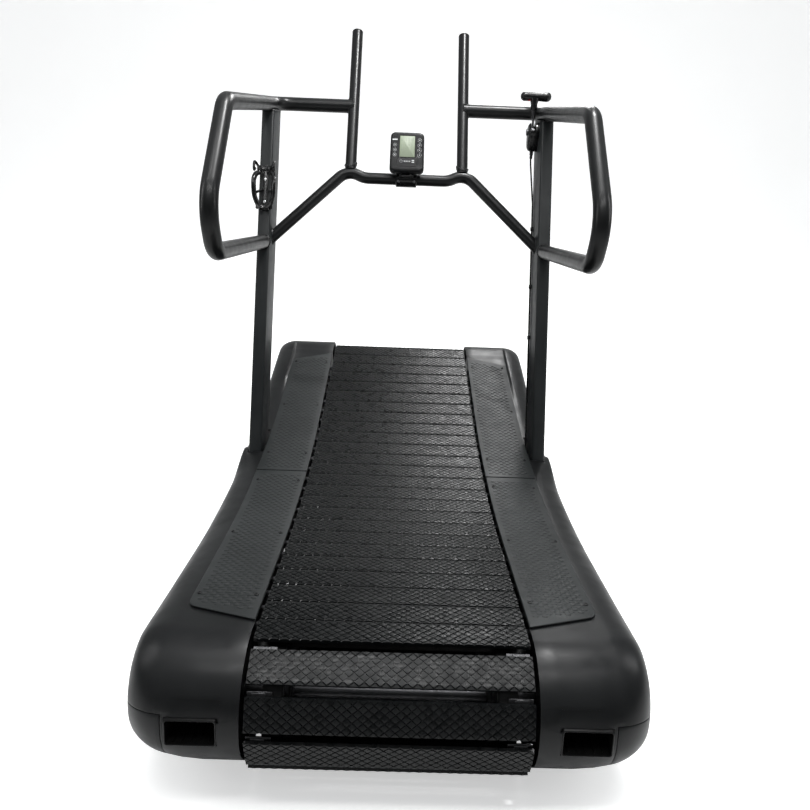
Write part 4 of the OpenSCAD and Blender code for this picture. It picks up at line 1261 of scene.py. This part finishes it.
def console():
    """Case with its window, key holes and ears, then the glass and the smaller parts."""
    mid = 0.004 + FACE_H / 2
    depth = 0.026
    taper = 0.0015
    rings = []
    for inset, y in ((0.006, depth), (0.0015, depth - 0.003), (0, depth - 0.006), (0, 0.006),
                     (0.0012, 0.0028), (0.0034, 0.0008), (0.006, 0.0002)):
        size = (FACE_W - 2 * inset, FACE_H - 2 * inset)
        rings.append(face_plate(*size, 0.013 - inset / 3, FACE_Y + y, mid, taper))
    body = solid("console_case", placed(loft(rings), CONSOLE))
    window = loft([face_plate(0.0436, 0.0636, 0.002, y, WINDOW_Z) for y in (FACE_Y - 0.01, FACE_Y + 0.0016)])
    boolean(body, placed(window, CONSOLE))
    key_hole = [(POLE, -0.004), (0.0034, -0.004), (0.0034, 0.0040), (POLE, 0.0040)]
    away = CONSOLE.to_3x3() @ Vector((0, 1, 0))
    for x, z in KEYS:
        boolean(body, turned(key_hole, CONSOLE @ Vector((x, FACE_Y, z)), away, 32))
    knuckle_room = box(-0.0152, 0.0152, -0.018, -0.005, -0.008, 0.0105)
    boolean(body, placed(knuckle_room, CONSOLE))
    ear = turned([(0.0075, 0.0), (0.0075, 0.005)], CONSOLE_PIVOT + Vector((0.0153, 0, 0)), (1, 0, 0), 40)
    for side in (1, -1):
        boolean(body, placed(ear, Matrix.Scale(side, 4, (1, 0, 0))), "UNION")
    bevel(body, 0.0005, 2, 50)
    piece(body, "console_plastic", "console", replaces=["console_body"])
    glass = loft([face_plate(w, h, 0.002, FACE_Y + y, WINDOW_Z) for w, h, y in
                  ((0.0430, 0.0630, 0.0019), (0.0430, 0.0630, 0.0008), (0.0420, 0.0620, 0.0004))])
    on_console("console_lcd_glass", [glass], "lcd", replaces=["console_screen"])
    console_display()
    console_trim()
    console_keys()
    console_mount()


# segments lit in each digit: top, upper left, upper right, middle, lower left, lower right, bottom
DIGITS = {"0": "1110111", "1": "0010010", "2": "1011101", "4": "0111010", "5": "1101011", "8": "1111111"}


def seven_segment(digit, x, z, width, height, y):
    """Bars of one numeral on the display."""
    bar = width * 0.16
    half = width / 2
    spots = [(0, height, 1), (-half, height * 0.75, 0), (half, height * 0.75, 0), (0, height / 2, 1),
             (-half, height * 0.25, 0), (half, height * 0.25, 0), (0, 0, 1)]
    parts = []
    for lit, (dx, dz, flat) in zip(DIGITS[digit], spots):
        if lit == "1":
            half_x = (half - bar * 0.7) if flat else bar / 2
            half_z = bar / 2 if flat else (height / 4 - bar * 0.7)
            sides = (x + dx - half_x, x + dx + half_x)
            parts.append(box(*sides, y - 0.00012, y, z + dz - half_z, z + dz + half_z))
    return parts


def console_display():
    y = FACE_Y + 0.0004
    line = 0.0001
    parts = []
    rows = (("108", 0.0100, 0.093, 0.0090), ("245", 0.0080, 0.078, 0.0070), ("028", 0.0080, 0.064, 0.0070),
            ("150", 0.0080, 0.051, 0.0070))
    for digits, pitch, z, height in rows:
        for i, digit in enumerate(digits):
            parts += seven_segment(digit, (i - 1) * pitch + 0.004, z, height * 0.5, height, y)
    for z in (0.0895, 0.0745, 0.0605):
        parts.append(box(-0.019, 0.019, y - line, y, z - line, z + line))
    for i in range(4):
        parts.append(box(-0.0185, -0.0125, y - line, y, 0.052 + 0.0140 * i, 0.0534 + 0.0140 * i))
    on_console("console_lcd_segments", parts, "lcd", material=SEGMENT)


def ink_bar(x0, x1, z0, z1):
    """Printed bar on the console's face."""
    return box(x0, x1, INK_Y - INK_T, INK_Y, z0, z1)


def ink_ring(x, z, radius):
    """Thin printed ring on the console's face."""
    path = [Vector((x + a, INK_Y, z + b)) for a, b in circle(radius, 32)]
    return sweep(path, circle(0.00035, 6), (0, 1, 0), closed=True)


def console_trim():
    """Raised lines round the window and the lower panel, and plain printed marks."""
    bezel = face_plate(0.0464, 0.0664, 0.004, INK_Y, WINDOW_Z)
    panel = face_plate(0.058, 0.026, 0.006, INK_Y, 0.0325)
    lines = [sweep(line, circle(0.0006, 8), (0, 1, 0), closed=True) for line in (bezel, panel)]
    on_console("console_bezel_lines", lines, "console_plastic")
    marks = [ink_bar(-0.0425, -0.0285, 0.0945, 0.0980)]
    for i, (x, z) in enumerate(KEYS):
        marks.append(ink_ring(x, z, 0.0052))
        if i < 3:
            marks.append(ink_ring(-x, z, 0.0044))
            marks.append(ink_bar(-x - 0.0012, -x + 0.0012, z - 0.0012, z + 0.0012))
    marks.append(ink_ring(-0.0165, 0.0335, 0.0036))
    for i in range(4):
        left = -0.0085 + 0.0052 * i
        marks.append(ink_bar(left, left + 0.0025, 0.0318, 0.0352))
    marks += [ink_bar(0.0135, 0.0205, low, low + 0.0025) for low in (0.0350, 0.0300)]
    on_console("console_printed_marks", marks, "console_plastic", material=MARKING)


def console_keys():
    """Four domed keys that move on their own, each with a printed dot."""
    dome = [(POLE, -0.0020), (0.0030, -0.0020), (0.0030, 0.0004), (0.0026, 0.0009), (POLE, 0.0011)]
    mark = [(POLE, 0.0008), (0.0013, 0.0008), (0.0013, 0.00125), (POLE, 0.0013)]
    press = CONSOLE.to_3x3() @ Vector((0, -1, 0))
    for number, (x, z) in enumerate(KEYS, 1):
        spot = CONSOLE @ Vector((x, FACE_Y, z))
        name = f"console_key_{number}"
        body = f"key_{number}"
        piece(solid(f"{name}_dome", turned(dome, spot, press, 32)), "key_rubber", body, replaces=[name])
        piece(solid(f"{name}_mark", turned(mark, spot, press, 20)), "key_rubber", body, material=MARKING)


def console_mount():
    """Saddle clamp on the lower crossbar with the knuckle that the console tilts on."""
    bar = Vector((0, post_y(BAR_Z), BAR_Z))
    half = 0.030
    clamp_r = 0.0215
    rings = []
    for x, size in ((-half, 0.90), (-half + 0.002, 1.0), (half - 0.002, 1.0), (half, 0.90)):
        rings.append([Vector((x, bar.y + a * size, bar.z + b * size)) for a, b in circle(clamp_r, 40)])
    neck_base = Vector((0, bar.y - 0.014, bar.z + 0.002))
    neck = loft([[middle + Vector((a, 0, b)) for a, b in rounded_rect(0.028, height, 0.004)]
                 for middle, height in ((neck_base, 0.018), (CONSOLE_PIVOT, 0.012))])
    outline = [(POLE, -0.014), (0.0065, -0.014), (0.007, -0.0134), (0.007, 0.0134), (0.0065, 0.014),
               (POLE, 0.014)]
    knuckle = turned(outline, CONSOLE_PIVOT, (1, 0, 0))
    piece(solid("console_saddle", loft(rings), neck, knuckle), "lever_plastic", replaces=["console_bracket"])
    screws = [socket_screw(0.0042, 0.003, (x, bar.y - 0.0208, bar.z - 0.004), (0, -1, -0.2))
              for x in (-0.022, 0.022)]
    piece(solid("console_clamp_screws", *screws), "steel")


# ---- CAD nodes that stay ----

KEPT = {
    "frame_paint": ["base_rails", "base_crossmembers", "side_brackets", "left_side_plate", "right_side_plate",
                    "deck_ties", "bearing_housings", "rear_pulleys", "front_pulleys", "upright_bolts"],
    "foot_rubber": ["feet", "left_transport_wheel", "right_transport_wheel"],
    "steel": ["deck_fasteners", "rear_shaft", "front_shaft", "brake_arm", "pivot_pins"],
    "bearing_steel": ["track_bearings", "shaft_bearings", "brake_magnets"],
    "disc_aluminium": ["brake_disc"],
    "slat_metal": ["slat_bars"],
    "belt_rubber": ["drive_belts"],
}


def kept_nodes():
    """Material and a small edge bevel for the CAD nodes that are shown as they are."""
    for slot, names in KEPT.items():
        for name in names:
            node = frame["nodes"][name]
            for index in range(max(1, len(node.material_slots))):
                if not node.material_slots:
                    node.data.materials.append(MATERIALS[slot])
                node.material_slots[index].material = MATERIALS[slot]
            weld = node.modifiers.new("weld", "WELD")
            weld.merge_threshold = 1e-6
            edge = node.modifiers.new("edge", "BEVEL")
            edge.width = 0.0006
            edge.segments = 2
            edge.limit_method = "ANGLE"
            edge.angle_limit = radians(50)


# ---- studio ----


def studio():
    """White backdrop that shines for the camera only, the sky and the lamps."""
    reach = 9.0
    wall = 4.5
    bend = 1.6
    steps = 16
    angles = [pi / 2 * i / steps for i in range(steps + 1)]
    curve = [(wall - bend + bend * sin(a), bend * (1 - cos(a))) for a in angles]
    profile = [(-reach, 0.0), *curve, (wall, 6.0)]
    verts = [(x, y, z - 0.0005) for y, z in profile for x in (-reach, reach)]
    faces = [[2 * i, 2 * i + 1, 2 * i + 3, 2 * i + 2] for i in range(len(profile) - 1)]
    backdrop = new_object("studio_backdrop", verts, faces)
    shader = Shader("backdrop", (0.86, 0.86, 0.855), 0.7)
    shader.tint(shader.noise(3, 2), (0.84, 0.84, 0.835))
    put(shader.surface, Emission_Color=(1.0, 1.0, 1.0, 1.0))
    seen = shader.nodes.new("ShaderNodeLightPath").outputs["Is Camera Ray"]
    glow = 0.48
    shader.link(shader.spread(seen, 0.0, glow, 0.0, 1.0), shader.surface.inputs["Emission Strength"])
    backdrop.data.materials.append(shader.material)
    backdrop.data.polygons.foreach_set("use_smooth", [True] * len(backdrop.data.polygons))
    bpy.context.scene.world = sky()
    area_light("near_strip", (0.1, -1.45, 2.7), (0.0, -0.8, 0.2), 2.2, 0.16, 26)
    area_light("mid_strip", (-0.1, -0.35, 2.8), (0.0, -0.6, 0.2), 2.2, 0.16, 18)
    area_light("far_box", (0.75, 2.9, 2.8), (0.15, 0.2, 0.3), 1.0, 0.6, 42)
    area_light("left_box", (-2.4, -0.5, 1.8), (0.0, 0.0, 0.7), 0.3, 1.6, 14)
    area_light("right_box", (2.4, -0.2, 1.8), (0.0, 0.0, 0.7), 0.3, 1.6, 14)
    area_light("lamp", (0.45, 0.20, 2.9), (0.1, 0.4, 0.4), 0.12, 0.12, 48)


def sky():
    """Soft light that is brighter from above than from the sides."""
    world = bpy.data.worlds.new("studio")
    world.use_nodes = True
    nodes = world.node_tree.nodes
    links = world.node_tree.links
    coords = nodes.new("ShaderNodeTexCoord")
    split = nodes.new("ShaderNodeSeparateXYZ")
    ramp = nodes.new("ShaderNodeMapRange")
    put(ramp, From_Min=0.2, From_Max=1.0, To_Min=0.12, To_Max=0.95)
    links.new(coords.outputs["Generated"], split.inputs["Vector"])
    links.new(split.outputs["Z"], ramp.inputs["Value"])
    background = nodes["Background"]
    put(background, Color=(0.95, 0.98, 1.0, 1.0))
    links.new(ramp.outputs["Result"], background.inputs["Strength"])
    return world


def area_light(name, place, target, width, height, power):
    light = bpy.data.lights.new(name, "AREA")
    light.shape = "RECTANGLE"
    light.size = width
    light.size_y = height
    light.energy = power
    obj = bpy.data.objects.new(name, light)
    obj.location = place
    obj.rotation_euler = (Vector(target) - Vector(place)).to_track_quat("-Z", "Y").to_euler()
    IN_SCENE.link(obj)


def camera():
    data = bpy.data.cameras.new("camera")
    data.sensor_width = 36
    data.lens = 30.53
    obj = bpy.data.objects.new("camera", data)
    place = (-0.0078, -1.6930, 1.0386)
    pitch = radians(19.608)
    yaw = radians(0.8139)
    roll = radians(2.217)
    aim = Matrix.Rotation(-yaw, 4, "Z") @ Matrix.Rotation(pi / 2 - pitch, 4, "X")
    obj.matrix_world = Matrix.Translation(place) @ (aim @ Matrix.Rotation(roll, 4, "Z"))
    IN_SCENE.link(obj)
    bpy.context.scene.camera = obj


camera()
studio()
kept_nodes()
slat_belt()
covers()
pockets()
foot_plates()
uprights()
handrails()
push_horns()
lower_crossbar()
lever_housing()
lever()
cable()
bottle_cage()
console()

bpy.context.scene.view_settings.view_transform = "Standard"
